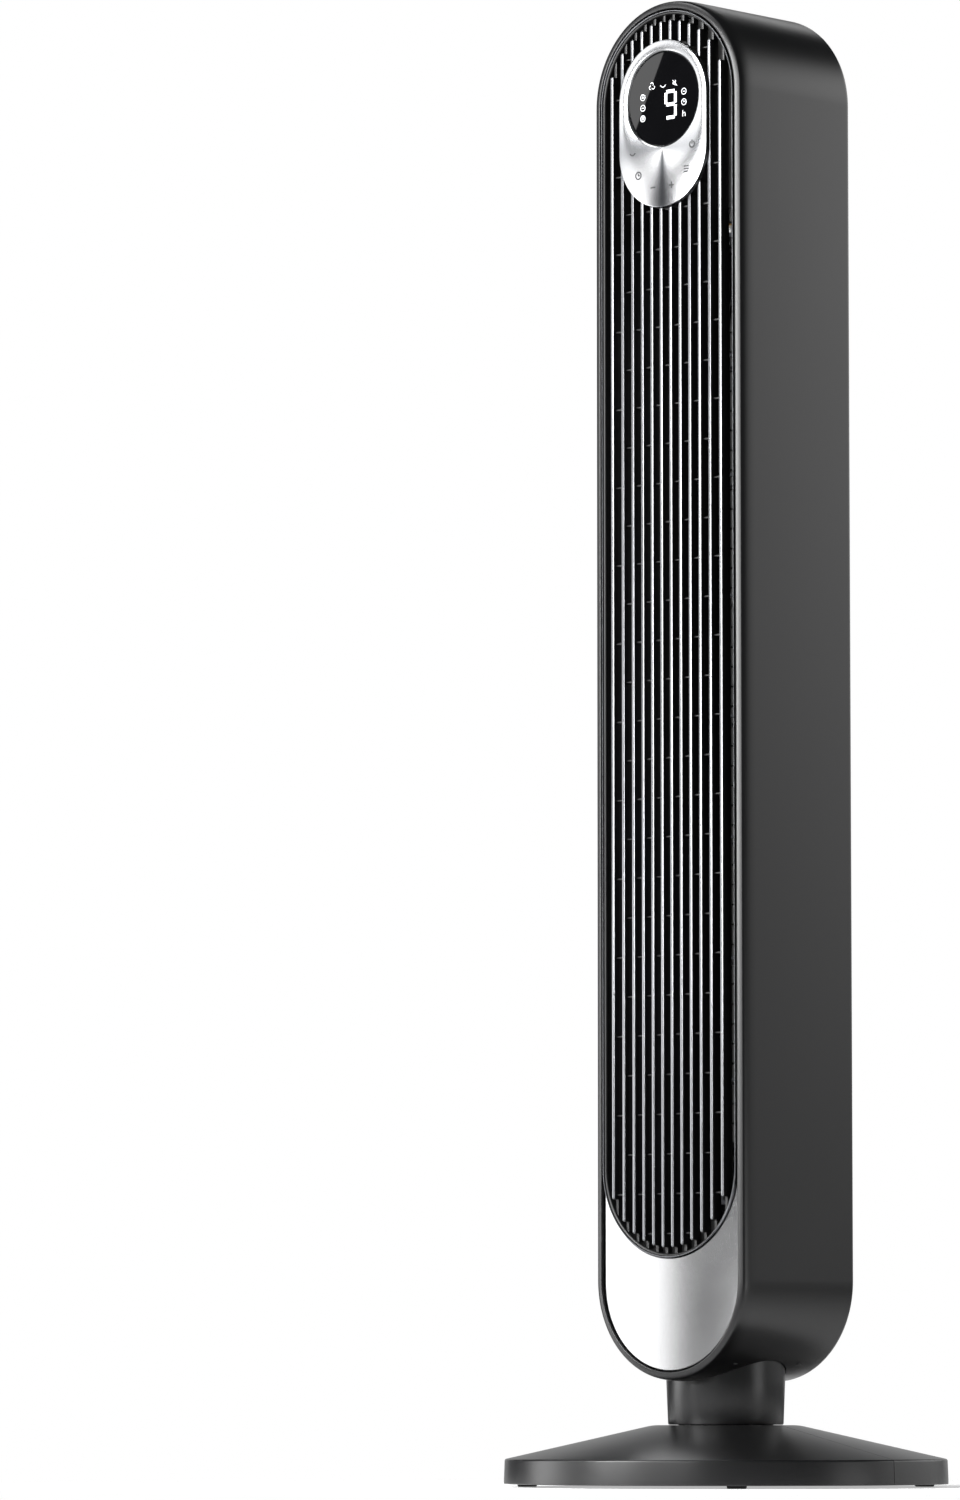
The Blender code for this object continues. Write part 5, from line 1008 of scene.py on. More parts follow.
last = (SLAT_COUNT - 1) / 2
pitch = (outer - SLAT_SIDE_GAP) / (last * (1 + SLAT_SPREAD * last ** 2))
steps = [index - last for index in range(SLAT_COUNT)]
slat_places = [pitch * step * (1 + SLAT_SPREAD * step ** 2) for step in steps]
body_lines = []
foil_lines = []
root_lines = []
FRONT_WAY = (0, -1, 0)
body_depth = SLAT_DEPTH - FOIL_THICKNESS
for x in slat_places:
    face_end = math.sqrt((outer - SLAT_END_MARGIN) ** 2 - x ** 2)
    root_end = math.sqrt((outer - ROOT_SINK) ** 2 - x ** 2)
    low = GRILLE_LOW_CENTRE - face_end
    high = HEAD_HIGH_CENTRE + face_end
    y = SLAT_FRONT + FOIL_THICKNESS + body_depth / 2
    body_lines.append(([((x, y, low), 1.0), ((x, y, high), 1.0)], FRONT_WAY))
    y = SLAT_FRONT + SLAT_DEPTH - ROOT_DEPTH / 2
    ends = (
        (low + SLAT_END_OVERLAP, GRILLE_LOW_CENTRE - root_end),
        (high - SLAT_END_OVERLAP, HEAD_HIGH_CENTRE + root_end),
    )
    for start, end in ends:
        root_lines.append(([((x, y, start), 1.0), ((x, y, end), 1.0)], FRONT_WAY))
    y = SLAT_FRONT + FOIL_THICKNESS / 2
    line = []
    for step in range(END_STEPS + 1):
        turn = math.pi / 2 * step / END_STEPS
        z = low + SLAT_WIDTH / 2 * (1 - math.cos(turn))
        line.append(((x, y, z), max(math.sin(turn), SLAT_TIP)))
    for step in range(END_STEPS + 1):
        turn = math.pi / 2 * (1 - step / END_STEPS)
        z = high - SLAT_WIDTH / 2 * (1 - math.cos(turn))
        line.append(((x, y, z), max(math.sin(turn), SLAT_TIP)))
    foil_lines.append((line, FRONT_WAY))
rib_lines = []
for gap, (left, right) in enumerate(zip(slat_places, slat_places[1:])):
    widest = max(abs(left), abs(right))
    reach = math.sqrt((outer - SLAT_END_MARGIN) ** 2 - widest ** 2)
    z = HEAD_TOP - RIB_TOP_DROP - (RIB_PITCH / 2 if gap % 2 else 0)
    z += RIB_PITCH * math.floor((HEAD_HIGH_CENTRE + reach - z) / RIB_PITCH)
    y = SLAT_FRONT + RIB_SETBACK + RIB_DEPTH / 2
    while z > GRILLE_LOW_CENTRE - reach:
        rib_lines.append(([((left, y, z), 1.0), ((right, y, z), 1.0)], FRONT_WAY))
        z -= RIB_PITCH
slats = bars_along(body_lines, SLAT_WIDTH, body_depth, SLAT_ROUNDING, moulded_black_abs)
roots = bars_along(root_lines, SLAT_WIDTH, ROOT_DEPTH, SLAT_ROUNDING, moulded_black_abs)
ribs = bars_along(rib_lines, RIB_HEIGHT, RIB_DEPTH, FOIL_ROUNDING, moulded_black_abs)
foil = bars_along(foil_lines, SLAT_WIDTH, FOIL_THICKNESS, FOIL_ROUNDING, silver_foil)


def pod_tool():
    """The solid of the hole that the control panel's pod passes through."""
    section = [(POD_HOLE, SLAT_FRONT - TOOL_OVERRUN), (POD_HOLE, GRILLE_BACK + TOOL_OVERRUN)]
    return stadium(section, PANEL_LOW_CENTRE, PANEL_TOP_CENTRE, steps=48)


shape = gathered([rim_shape] + [carved(part, pod_tool()) for part in (slats, roots, ribs)])
add_piece("outlet_grille", shape, moulded_black_abs, "head", ["front_grille"])
shape = carved(foil, pod_tool())
add_piece("slat_foil", shape, silver_foil, "head")
bead = [
    (outer, GRILLE_FRONT + BEAD_PROUD),
    (outer, GRILLE_FRONT - BEAD_PROUD + BEAD_EASE),
    (outer - BEAD_CORNER, GRILLE_FRONT - BEAD_PROUD),
    (outer - BEAD_WIDTH + BEAD_CORNER, GRILLE_FRONT - BEAD_PROUD),
    (outer - BEAD_WIDTH, GRILLE_FRONT - BEAD_PROUD + BEAD_EASE),
    (outer - BEAD_WIDTH, GRILLE_FRONT + BEAD_EASE),
]
shape = stadium(bead, GRILLE_LOW_CENTRE, HEAD_HIGH_CENTRE, ring=True)
add_piece("rim_bead", shape, silver_foil, "head")

# ---------------------------------------------------------------- lower fascia
# A silver painted ABS shield under the grille, gently crowned from side to side, snapped in
# with four clips. Its notch follows the grille and its horns taper out beside it.


FLAKES_PER_METRE = 3500.0
SPREADS_PER_METRE = 30.0
FLAKE_SHADE = 0.86
PAINT_DRIFT = 0.02
FLAKE_RELIEF = 0.00002


def painted(name, colour, roughness):
    """Silver paint: a metallic flake that differs a little from spot to spot, under a clear."""
    material, tree, shader = new_material(
        name, Metallic=1.0, Coat_Weight=0.35, Coat_Roughness=0.12
    )
    place = add_node(tree, "ShaderNodeTexCoord")
    flake = add_node(
        tree,
        "ShaderNodeTexVoronoi",
        {"Vector": place.outputs["Object"], "Scale": FLAKES_PER_METRE},
    )
    spread = add_node(
        tree,
        "ShaderNodeTexNoise",
        {"Vector": place.outputs["Object"], "Scale": SPREADS_PER_METRE, "Detail": 3.0},
    )
    split = add_node(tree, "ShaderNodeSeparateColor", {"Color": flake.outputs["Color"]})
    dark = tuple(channel * FLAKE_SHADE for channel in linear(colour)[:3]) + (1.0,)
    tone = add_node(
        tree,
        "ShaderNodeMix",
        {"Factor": split.outputs["Red"], 6: dark, 7: linear(colour)},
        data_type="RGBA",
    )
    gloss = add_node(
        tree,
        "ShaderNodeMapRange",
        {
            "Value": spread.outputs["Fac"],
            "To Min": roughness - PAINT_DRIFT,
            "To Max": roughness + PAINT_DRIFT,
        },
    )
    bump = add_node(
        tree,
        "ShaderNodeBump",
        {"Height": split.outputs["Green"], "Strength": 0.02, "Distance": FLAKE_RELIEF},
    )
    tree.links.new(tone.outputs[2], shader.inputs["Base Color"])
    tree.links.new(gloss.outputs["Result"], shader.inputs["Roughness"])
    tree.links.new(bump.outputs["Normal"], shader.inputs["Normal"])
    return material


# Silver paint on ABS: bright, satin, with a fine flake.
silver_paint = painted("silver_paint", "#e4e4e5", 0.15)

fascia_low, fascia_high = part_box("lower_fascia")
FASCIA_HALF_WIDTH = fascia_high.x
FASCIA_FRONT = fascia_low.y
FASCIA_THICKNESS = 0.0028
FASCIA_TIP = fascia_high.z
FASCIA_GAP = 0.0006
FASCIA_NOTCH = GRILLE_HALF_WIDTH + FASCIA_GAP
FASCIA_CROWN = 0.0014
FASCIA_EDGE = 0.0004
FASCIA_COLUMNS = 120
CLIP_HALF_WIDTH = 0.0040
CLIP_HEIGHT = 0.0012
CLIP_SINK = 0.0005
CLIP_PLACES = ((0.036, 0.030), (0.056, 0.100))


def fascia_front(x):
    """How far forward the crowned face is at a distance from the middle."""
    return FASCIA_FRONT + FASCIA_CROWN * (x / FASCIA_HALF_WIDTH) ** 2


def fascia_loop(inset, sink):
    """Outline of the shield, set in from its edge and back from its face."""
    half = FASCIA_HALF_WIDTH - inset
    notch = FASCIA_NOTCH + inset
    tip = FASCIA_TIP - inset
    loop = []
    for step in range(FASCIA_COLUMNS + 1):
        angle = math.pi + math.pi * step / FASCIA_COLUMNS
        loop.append((half * math.cos(angle), HEAD_LOW_CENTRE + half * math.sin(angle)))
    tip_x = math.sqrt(notch ** 2 - (GRILLE_LOW_CENTRE - tip) ** 2)
    end = math.acos(tip_x / notch)
    loop.append((half, tip))
    for step in range(FASCIA_COLUMNS + 1):
        angle = -end - (math.pi - 2 * end) * step / FASCIA_COLUMNS
        loop.append((notch * math.cos(angle), GRILLE_LOW_CENTRE + notch * math.sin(angle)))
    loop.append((-half, tip))
    return [(x, fascia_front(x) + sink, z) for x, z in loop]


def shield():
    """The shield's skin: a crowned face in rows, bevelled edges and a flat, closed back."""
    shape = bmesh.new()
    rim = [fascia_loop(FASCIA_EDGE, 0.0), fascia_loop(0.0, FASCIA_EDGE)]
    rim.append(fascia_loop(0.0, FASCIA_THICKNESS - FASCIA_CROWN))
    loops = [[shape.verts.new(point) for point in loop] for loop in rim]
    flat = [shape.verts.new((v.co.x, FASCIA_FRONT + FASCIA_THICKNESS, v.co.z)) for v in loops[2]]
    loops.append(flat)
    count = len(flat)
    for first, second in zip(loops, loops[1:]):
        for index in range(count):
            after = (index + 1) % count
            shape.faces.new((first[index], first[after], second[after], second[index]))
    turns = FASCIA_COLUMNS + 1
    for loop in (loops[0], loops[-1]):
        low = loop[:turns]
        high = loop[turns + 1:2 * turns + 1][::-1]
        left_tip = loop[2 * turns + 1]
        right_tip = loop[turns]
        for index in range(FASCIA_COLUMNS):
            shape.faces.new((low[index], low[index + 1], high[index + 1], high[index]))
        shape.faces.new((low[0], high[0], left_tip))
        shape.faces.new((low[-1], high[-1], right_tip))
    return shape


def block(low, high):
    """A plain box between two corners."""
    shape = bmesh.new()
    size = [b - a for a, b in zip(low, high)]
    centre = [(a + b) / 2 for a, b in zip(low, high)]
    bmesh.ops.create_cube(shape, size=1)
    bmesh.ops.scale(shape, verts=shape.verts, vec=size)
    bmesh.ops.translate(shape, verts=shape.verts, vec=centre)
    return shape


shapes = [shield()]
for side in (-1, 1):
    for x, rise in CLIP_PLACES:
        z = HEAD_BOTTOM + rise
        low = (side * x - CLIP_HALF_WIDTH, FASCIA_FRONT + FASCIA_THICKNESS - CLIP_SINK, z)
        high = (side * x + CLIP_HALF_WIDTH, -LEDGE_FRONT - CLEARANCE, z + CLIP_HEIGHT)
        shapes.append(block(low, high))
add_piece(
    "silver_shield",
    gathered(shapes),
    silver_paint,
    "head",
    ["lower_fascia"],
    sharp=30,
)

# ---------------------------------------------------------------- control panel
# A spun aluminium plate with its lathe marks left on, six touch signs printed in grey, and a
# round smoked acrylic window over the lit display. A black pod behind holds it all.
PANEL_FRONT = panel_low.y
PANEL_BACK = panel_high.y
PANEL_EDGE = 0.0008
window_low, window_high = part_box("display_window")
WINDOW_RADIUS = window_high.x
WINDOW_CENTRE = (window_low.z + window_high.z) / 2
WINDOW_HOLE = WINDOW_RADIUS + CLEARANCE
WINDOW_CHAMFER = 0.0017
CHAMFER_EASE = 0.0004
CHAMFER_LEAD = 0.00012
WINDOW_FRONT = window_low.y
WINDOW_BACK = window_high.y

# Spun aluminium: fine rings round the middle of the plate, and bright and dark fans round it that
# are a painted sheen in the base colour, set by angle and not by the lights.
spun_aluminium, tree, shader = new_material("spun_aluminium", Metallic=1.0, Roughness=0.20)
place = add_node(tree, "ShaderNodeTexCoord")
from_middle = add_node(
    tree,
    "ShaderNodeVectorMath",
    {0: place.outputs["Object"], 1: (0, 0, PANEL_LOW_CENTRE)},
    operation="SUBTRACT",
)
parts = add_node(tree, "ShaderNodeSeparateXYZ", {0: from_middle.outputs["Vector"]})
angle = add_node(
    tree,
    "ShaderNodeMath",
    {0: parts.outputs["X"], 1: parts.outputs["Z"]},
    operation="ARCTAN2",
)
flat = add_node(tree, "ShaderNodeCombineXYZ", {"X": parts.outputs["X"], "Z": parts.outputs["Z"]})
radius = add_node(tree, "ShaderNodeVectorMath", {0: flat.outputs["Vector"]}, operation="LENGTH")
turn = add_node(
    tree,
    "ShaderNodeMapRange",
    {
        "Value": angle.outputs["Value"],
        "From Min": -math.pi,
        "From Max": math.pi,
    },
)
# Painted sheen: bright and dark fans by angle round the middle of the plate, painted into the base
# colour.
painted_sheen_fans = add_node(tree, "ShaderNodeValToRGB", {"Fac": turn.outputs["Result"]})
ramp = painted_sheen_fans.color_ramp
ramp.interpolation = "B_SPLINE"
# Tones of the painted sheen by angle round the middle: painted highlights and painted shade.
PAINTED_SHEEN_TONES = (
    (0.0, "#4a4c4f"),
    (0.02, "#6c6d70"),
    (0.06, "#cfcfd1"),
    (0.13, "#dadadb"),
    (0.22, "#a0a1a3"),
    (0.27, "#7d7e81"),
    (0.33, "#c4c5c7"),
    (0.47, "#b9babc"),
    (0.56, "#a4a5a7"),
    (0.66, "#cdcecf"),
    (0.74, "#8d8e91"),
    (0.80, "#b8b9bb"),
    (0.88, "#dcdcdd"),
    (0.94, "#cfcfd1"),
    (0.98, "#6c6d70"),
    (1.0, "#4a4c4f"),
)
ramp.elements[0].position, ramp.elements[0].color = PAINTED_SHEEN_TONES[0][0], linear(PAINTED_SHEEN_TONES[0][1])
ramp.elements[1].position, ramp.elements[1].color = PAINTED_SHEEN_TONES[-1][0], linear(PAINTED_SHEEN_TONES[-1][1])
for position, tone in PAINTED_SHEEN_TONES[1:-1]:
    ramp.elements.new(position).color = linear(tone)
LATHE_LINES_PER_METRE = 4500.0
LATHE_CONTRAST = 0.03
LATHE_RELIEF = 0.00001
rings = add_node(
    tree,
    "ShaderNodeTexNoise",
    {"W": radius.outputs["Value"], "Scale": LATHE_LINES_PER_METRE, "Detail": 2.0},
    noise_dimensions="1D",
)
lines = add_node(
    tree,
    "ShaderNodeMapRange",
    {
        "Value": rings.outputs["Fac"],
        "To Min": 1 - LATHE_CONTRAST,
        "To Max": 1 + LATHE_CONTRAST,
    },
)
tone = add_node(
    tree,
    "ShaderNodeVectorMath",
    {0: painted_sheen_fans.outputs["Color"], "Scale": lines.outputs["Result"]},
    operation="SCALE",
)
bump = add_node(
    tree,
    "ShaderNodeBump",
    {"Height": rings.outputs["Fac"], "Strength": 0.03, "Distance": LATHE_RELIEF},
)
tree.links.new(tone.outputs["Vector"], shader.inputs["Base Color"])
tree.links.new(bump.outputs["Normal"], shader.inputs["Normal"])


SEAM_NUDGE = 0.004


def circle_loop(radius, y, centre, steps):
    """A circle with as many points as a stadium loop of the same steps."""
    count = 2 * (steps + 1)
    points = []
    for index in range(count):
        half, step = divmod(index, steps + 1)
        angle = math.pi * half + math.pi * step / steps
        angle += SEAM_NUDGE * (1 if step == 0 else -1 if step == steps else 0)
        points.append((radius * math.cos(angle), y, centre + radius * math.sin(angle)))
    return points


PANEL_STEPS = 96


def plate_loop(half_width, y):
    """One outline of the plate at a half width."""
    return stadium_loop(half_width, y, PANEL_LOW_CENTRE, PANEL_TOP_CENTRE, PANEL_STEPS)


hole = [
    (WINDOW_HOLE, PANEL_BACK),
    (WINDOW_HOLE, PANEL_FRONT + WINDOW_CHAMFER),
    (WINDOW_HOLE + CHAMFER_EASE, PANEL_FRONT + WINDOW_CHAMFER * 0.45),
    (WINDOW_HOLE + WINDOW_CHAMFER - CHAMFER_EASE, PANEL_FRONT + CHAMFER_LEAD),
    (WINDOW_HOLE + WINDOW_CHAMFER, PANEL_FRONT),
]
edge = [
    (PANEL_HALF_WIDTH - PANEL_EDGE, PANEL_FRONT),
    (PANEL_HALF_WIDTH - PANEL_EDGE * 0.3, PANEL_FRONT + PANEL_EDGE * 0.3),
    (PANEL_HALF_WIDTH, PANEL_FRONT + PANEL_EDGE),
    (PANEL_HALF_WIDTH, PANEL_BACK),
]
loops = [circle_loop(radius, y, WINDOW_CENTRE, PANEL_STEPS) for radius, y in hole]
loops += [plate_loop(half_width, y) for half_width, y in edge]
shape = bridged(loops, ring=True)
add_piece(
    "control_plate",
    shape,
    spun_aluminium,
    "head",
    ["control_panel"],
    sharp=28,
)


def stroke(points, width, front, back, closed=False):
    """A flat line of even width through (x, z) points, as a thin solid."""
    count = len(points)
    places = [Vector(point) for point in points]
    left, right = [], []
    for index, place in enumerate(places):
        before = places[(index - 1) % count] if closed or index else place
        after = places[(index + 1) % count] if closed or index < count - 1 else place
        along = (after - before).normalized()
        across = Vector((-along.y, along.x)) * width / 2
        left.append(place + across)
        right.append(place - across)
    rows = []
    for index in range(count):
        rows.append([
            (left[index].x, front, left[index].y),
            (right[index].x, front, right[index].y),
            (right[index].x, back, right[index].y),
            (left[index].x, back, left[index].y),
        ])
    return bridged(rows, ring=closed)


def arc(x, z, radius, start, end, steps=20):
    """Points of an arc from one angle to another, in degrees."""
    turns = [math.radians(start + (end - start) * step / steps) for step in range(steps + 1)]
    return [(x + radius * math.cos(turn), z + radius * math.sin(turn)) for turn in turns]


def ring_of(x, z, radius, steps=28):
    """Points of a full circle, without the first repeated."""
    return arc(x, z, radius, 0, 360, steps)[:-1]


# Printed signs: mid grey pad-printing ink, slightly mottled.
printing_ink, tree, shader = new_material("pad_printing_ink", Roughness=0.5)
place = add_node(tree, "ShaderNodeTexCoord")
mottle = add_node(
    tree,
    "ShaderNodeTexNoise",
    {"Vector": place.outputs["Object"], "Scale": 2500.0},
)
tone = add_node(
    tree,
    "ShaderNodeMix",
    {"Factor": mottle.outputs["Fac"], 6: linear("#0c0c0e"), 7: linear("#1c1d20")},
    data_type="RGBA",
)
tree.links.new(tone.outputs[2], shader.inputs["Base Color"])

SIGN_WIDTH = 0.00105
INK_PROUD = 0.00005
INK_SUNK = 0.0001
SECOND_COAT = 0.00002
SIGN_FRONT = PANEL_FRONT - INK_PROUD
SIGN_BACK = PANEL_FRONT + INK_SUNK
MM = 0.001
signs = []


def mark(points, closed=False, width=SIGN_WIDTH, front=SIGN_FRONT, back=SIGN_BACK):
    """One line of a sign, in mm from the middle of the display."""
    placed = [(x * MM, WINDOW_CENTRE + z * MM) for x, z in points]
    return stroke(placed, width, front, back, closed)


signs.append(mark(arc(-29, -35.6, 2.8, 205, 335)))
signs.append(mark(arc(29, -36.7, 2.3, 122, 418)))
signs.append(mark([(29, -33.4), (29, -36.4)]))
signs.append(mark(ring_of(-23.3, -53.8, 2.6), closed=True))
signs.append(mark([(-23.3, -52.2), (-23.3, -54.1)]))
signs.append(mark([(-23.3, -53.8), (-22.0, -53.8)]))
for lift in (-1.9, 0, 1.9):
    signs.append(mark([(20.9, -53.8 + lift), (25.7, -53.8 + lift)]))
signs.append(mark([(-11.5, -64), (-6.6, -64)]))
signs.append(mark([(6.6, -64), (11.4, -64)]))
signs.append(mark([(9, -61.6), (9, -66.4)], front=SIGN_FRONT - SECOND_COAT))
add_piece("touch_signs", gathered(signs), printing_ink, "head")

# Smoked acrylic: nearly black, polished, with faint long waves in its surface.
smoked_acrylic, tree, shader = new_material("smoked_acrylic", IOR=1.49, Coat_Weight=0.0)
place = add_node(tree, "ShaderNodeTexCoord")
smear = add_node(
    tree,
    "ShaderNodeTexNoise",
    {"Vector": place.outputs["Object"], "Scale": 40.0, "Detail": 4.0},
)
tone = add_node(
    tree,
    "ShaderNodeMix",
    {"Factor": smear.outputs["Fac"], 6: linear("#050506"), 7: linear("#0a0a0c")},
    data_type="RGBA",
)
gloss = add_node(
    tree,
    "ShaderNodeMapRange",
    {"Value": smear.outputs["Fac"], "To Min": 0.0, "To Max": 0.015},
)
tree.links.new(tone.outputs[2], shader.inputs["Base Color"])
tree.links.new(gloss.outputs["Result"], shader.inputs["Roughness"])

WINDOW_EASE = 0.0003
profile = [
    (WINDOW_RADIUS, WINDOW_BACK),
    (WINDOW_RADIUS, WINDOW_FRONT + WINDOW_EASE),
    (WINDOW_RADIUS - WINDOW_EASE, WINDOW_FRONT),
]
shape = turned(profile, 128, (0, 0, WINDOW_CENTRE), "Y")
add_piece(
    "display_glass",
    shape,
    smoked_acrylic,
    "head",
    ["display_window"],
)

# Lit signs behind the glass: white LEDs, seen as flat white shapes slightly uneven in brightness.
lit_white, tree, shader = new_material("lit_white_signs", Roughness=0.4)
shader.inputs["Base Color"].default_value = linear("#f4f6f8")
place = add_node(tree, "ShaderNodeTexCoord")
uneven = add_node(
    tree,
    "ShaderNodeTexNoise",
    {"Vector": place.outputs["Object"], "Scale": 300.0},
)
glow = add_node(
    tree,
    "ShaderNodeMix",
    {"Factor": uneven.outputs["Fac"], 6: linear("#dfe6ee"), 7: linear("#ffffff")},
    data_type="RGBA",
)
tree.links.new(glow.outputs[2], shader.inputs["Emission Color"])

LIT_PROUD = 0.00004
LIT_SUNK = 0.0002
LIT_FRONT = WINDOW_FRONT - LIT_PROUD
LIT_BACK = WINDOW_FRONT + LIT_SUNK
LIT_WIDTH = 0.00042
LIT_GLOW = 0.95
shader.inputs["Emission Strength"].default_value = LIT_GLOW


def lit(points, closed=False, width=LIT_WIDTH):
    """One lit line, in mm from the middle of the display."""
    return mark(points, closed, width, LIT_FRONT, LIT_BACK)


DIGIT_LEFT, DIGIT_RIGHT = 2.0, 11.2
DIGIT_LOW, DIGIT_HIGH = -14.4, 4.6
DIGIT_WIDTH = 0.0024
DIGIT_GAP = 0.7
middle = (DIGIT_LOW + DIGIT_HIGH) / 2
shapes = []
for bar in (
    [(DIGIT_LEFT + DIGIT_GAP, DIGIT_HIGH), (DIGIT_RIGHT - DIGIT_GAP, DIGIT_HIGH)],
    [(DIGIT_LEFT + DIGIT_GAP, middle), (DIGIT_RIGHT - DIGIT_GAP, middle)],
    [(DIGIT_LEFT + DIGIT_GAP, DIGIT_LOW), (DIGIT_RIGHT - DIGIT_GAP, DIGIT_LOW)],
    [(DIGIT_LEFT, DIGIT_HIGH - DIGIT_GAP), (DIGIT_LEFT, middle + DIGIT_GAP)],
    [(DIGIT_RIGHT, DIGIT_HIGH - DIGIT_GAP), (DIGIT_RIGHT, middle + DIGIT_GAP)],
    [(DIGIT_RIGHT, middle - DIGIT_GAP), (DIGIT_RIGHT, DIGIT_LOW + DIGIT_GAP)],
):
    shapes.append(lit(bar, width=DIGIT_WIDTH))
# The fan sign: three curved blades round a middle, in mm.
FAN_SIGN_X, FAN_SIGN_Z = -11.6, 10.2
FAN_SIGN_RADIUS = 1.5
FAN_SIGN_BLADE = 1.3
for blade in range(3):
    turn = 90 + 120 * blade
    x = FAN_SIGN_X + FAN_SIGN_RADIUS * math.cos(math.radians(turn))
    z = FAN_SIGN_Z + FAN_SIGN_RADIUS * math.sin(math.radians(turn))
    shapes.append(lit(arc(x, z, FAN_SIGN_BLADE, turn - 130, turn + 70, 10)))
shapes.append(lit(arc(-0.8, 11.0, 2.6, 205, 335, 12)))
cone = [(9.0, 9.4), (10.0, 9.4), (11.4, 8.2), (11.4, 12.1), (10.0, 10.9), (9.0, 10.9)]
shapes.append(lit(cone, closed=True))
shapes.append(lit([(8.6, 12.4), (12.9, 8.0)]))
for x, z in ((19.5, 3.0), (19.5, -4.7), (-20.5, 3.1), (-20.5, -4.6), (-20.5, -12.3)):
    shapes.append(lit(ring_of(x, z, 2.2, 20), closed=True))
for line in (
    [(19.5, -3.4), (19.5, -4.9)],
    [(19.5, -4.7), (20.6, -4.7)],
    [(18.6, 3.0), (20.4, 3.0)],
    [(-21.3, 2.4), (-20.5, 4.0)],
    [(-20.5, 4.0), (-19.7, 2.4)],
    [(-21.6, -4.6), (-19.4, -4.6)],
    [(18.4, -10.8), (18.4, -15.2)],
):
    shapes.append(lit(line))
shapes.append(lit(ring_of(-20.5, -12.3, 0.9, 12), closed=True))
shapes.append(lit(arc(19.6, -13.4, 1.1, 180, 0, 8) + [(20.7, -15.2)]))
add_piece("lit_signs", gathered(shapes), lit_white, "head")

# Milky polycarbonate: white, soft, lets the light behind it spread.
milky_polycarbonate = moulded_plastic("milky_polycarbonate", "#dfe1e2", 0.35, 0.8, 0.05, IOR=1.58)


CELLS_PER_METRE = 260.0
TRACK_EDGE = 0.16
TRACK_FULL = 0.22
TRACK_RELIEF = 0.00005


def circuit_board(name, mask, copper):
    """Fibreglass board: solder mask with straight tracks under it, and paler pads."""
    material, tree, shader = new_material(name, Roughness=0.35)
    place = add_node(tree, "ShaderNodeTexCoord")
    tracks = add_node(
        tree,
        "ShaderNodeTexVoronoi",
        {"Vector": place.outputs["Object"], "Scale": CELLS_PER_METRE, "Randomness": 0.55},
        distance="CHEBYCHEV",
    )
    step = add_node(
        tree,
        "ShaderNodeMapRange",
        {
            "Value": tracks.outputs["Distance"],
            "From Min": TRACK_EDGE,
            "From Max": TRACK_FULL,
        },
    )
    tone = add_node(
        tree,
        "ShaderNodeMix",
        {"Factor": step.outputs["Result"], 6: linear(copper), 7: linear(mask)},
        data_type="RGBA",
    )
    bump = add_node(
        tree,
        "ShaderNodeBump",
        {"Height": step.outputs["Result"], "Strength": 0.2, "Distance": TRACK_RELIEF},
    )
    tree.links.new(tone.outputs[2], shader.inputs["Base Color"])
    tree.links.new(bump.outputs["Normal"], shader.inputs["Normal"])
    return material


# Circuit board: dark green mask over copper.
green_board = circuit_board("green_circuit_board", "#1d4a2c", "#8fa06a")

dress(moulded_black_abs, "panel_pod")
dress(milky_polycarbonate, "light_guide")
dress(green_board, "display_board")
dress(moulded_black_abs, "touch_sensor_film")

# ---------------------------------------------------------------- rear cover
# Satin black ABS, screwed over the open back of the casing. It carries the intake grille's
# frame and, above it, a rounded cup that serves as a carrying handle.
COVER_HALF_WIDTH = cover_high.x
COVER_EDGE = 0.0008
COVER_BACK = COVER_OUTER
intake_low, intake_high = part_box("rear_grille")
INTAKE_HALF_WIDTH = intake_high.x
INTAKE_LOW_CENTRE = intake_low.z + INTAKE_HALF_WIDTH
INTAKE_HIGH_CENTRE = intake_high.z - INTAKE_HALF_WIDTH
INTAKE_HOLE = INTAKE_HALF_WIDTH + CLEARANCE
HANDLE_HALF_WIDTH = 0.043
HANDLE_HALF_HEIGHT = 0.015
HANDLE_CENTRE = HEAD_TOP - 0.095
HANDLE_CORNER = 0.012
HANDLE_FLARE = 0.0018
HANDLE_WALL = 0.002
HANDLE_INSIDE = -0.0005
HANDLE_LIP = 0.0001
CUP_LEAD = 0.0012
CUP_CURVE = 0.004
CUP_OVERLAP = 0.0005
CORNER_STEPS = 10
WINDOW_OVERRUN = 0.002
DRILL_OVERRUN = 0.001
DRILL_SIDES = 24


def rounded_loop(half_width, half_height, corner, y, centre, steps=CORNER_STEPS):
    """Points of a rounded rectangle in a plane of constant y."""
    points = []
    for quarter, (side, up) in enumerate(((1, 1), (-1, 1), (-1, -1), (1, -1))):
        x = side * (half_width - corner)
        z = centre + up * (half_height - corner)
        for step in range(steps + 1):
            angle = math.pi / 2 * (quarter + step / steps)
            points.append((x + corner * math.cos(angle), y, z + corner * math.sin(angle)))
    return points


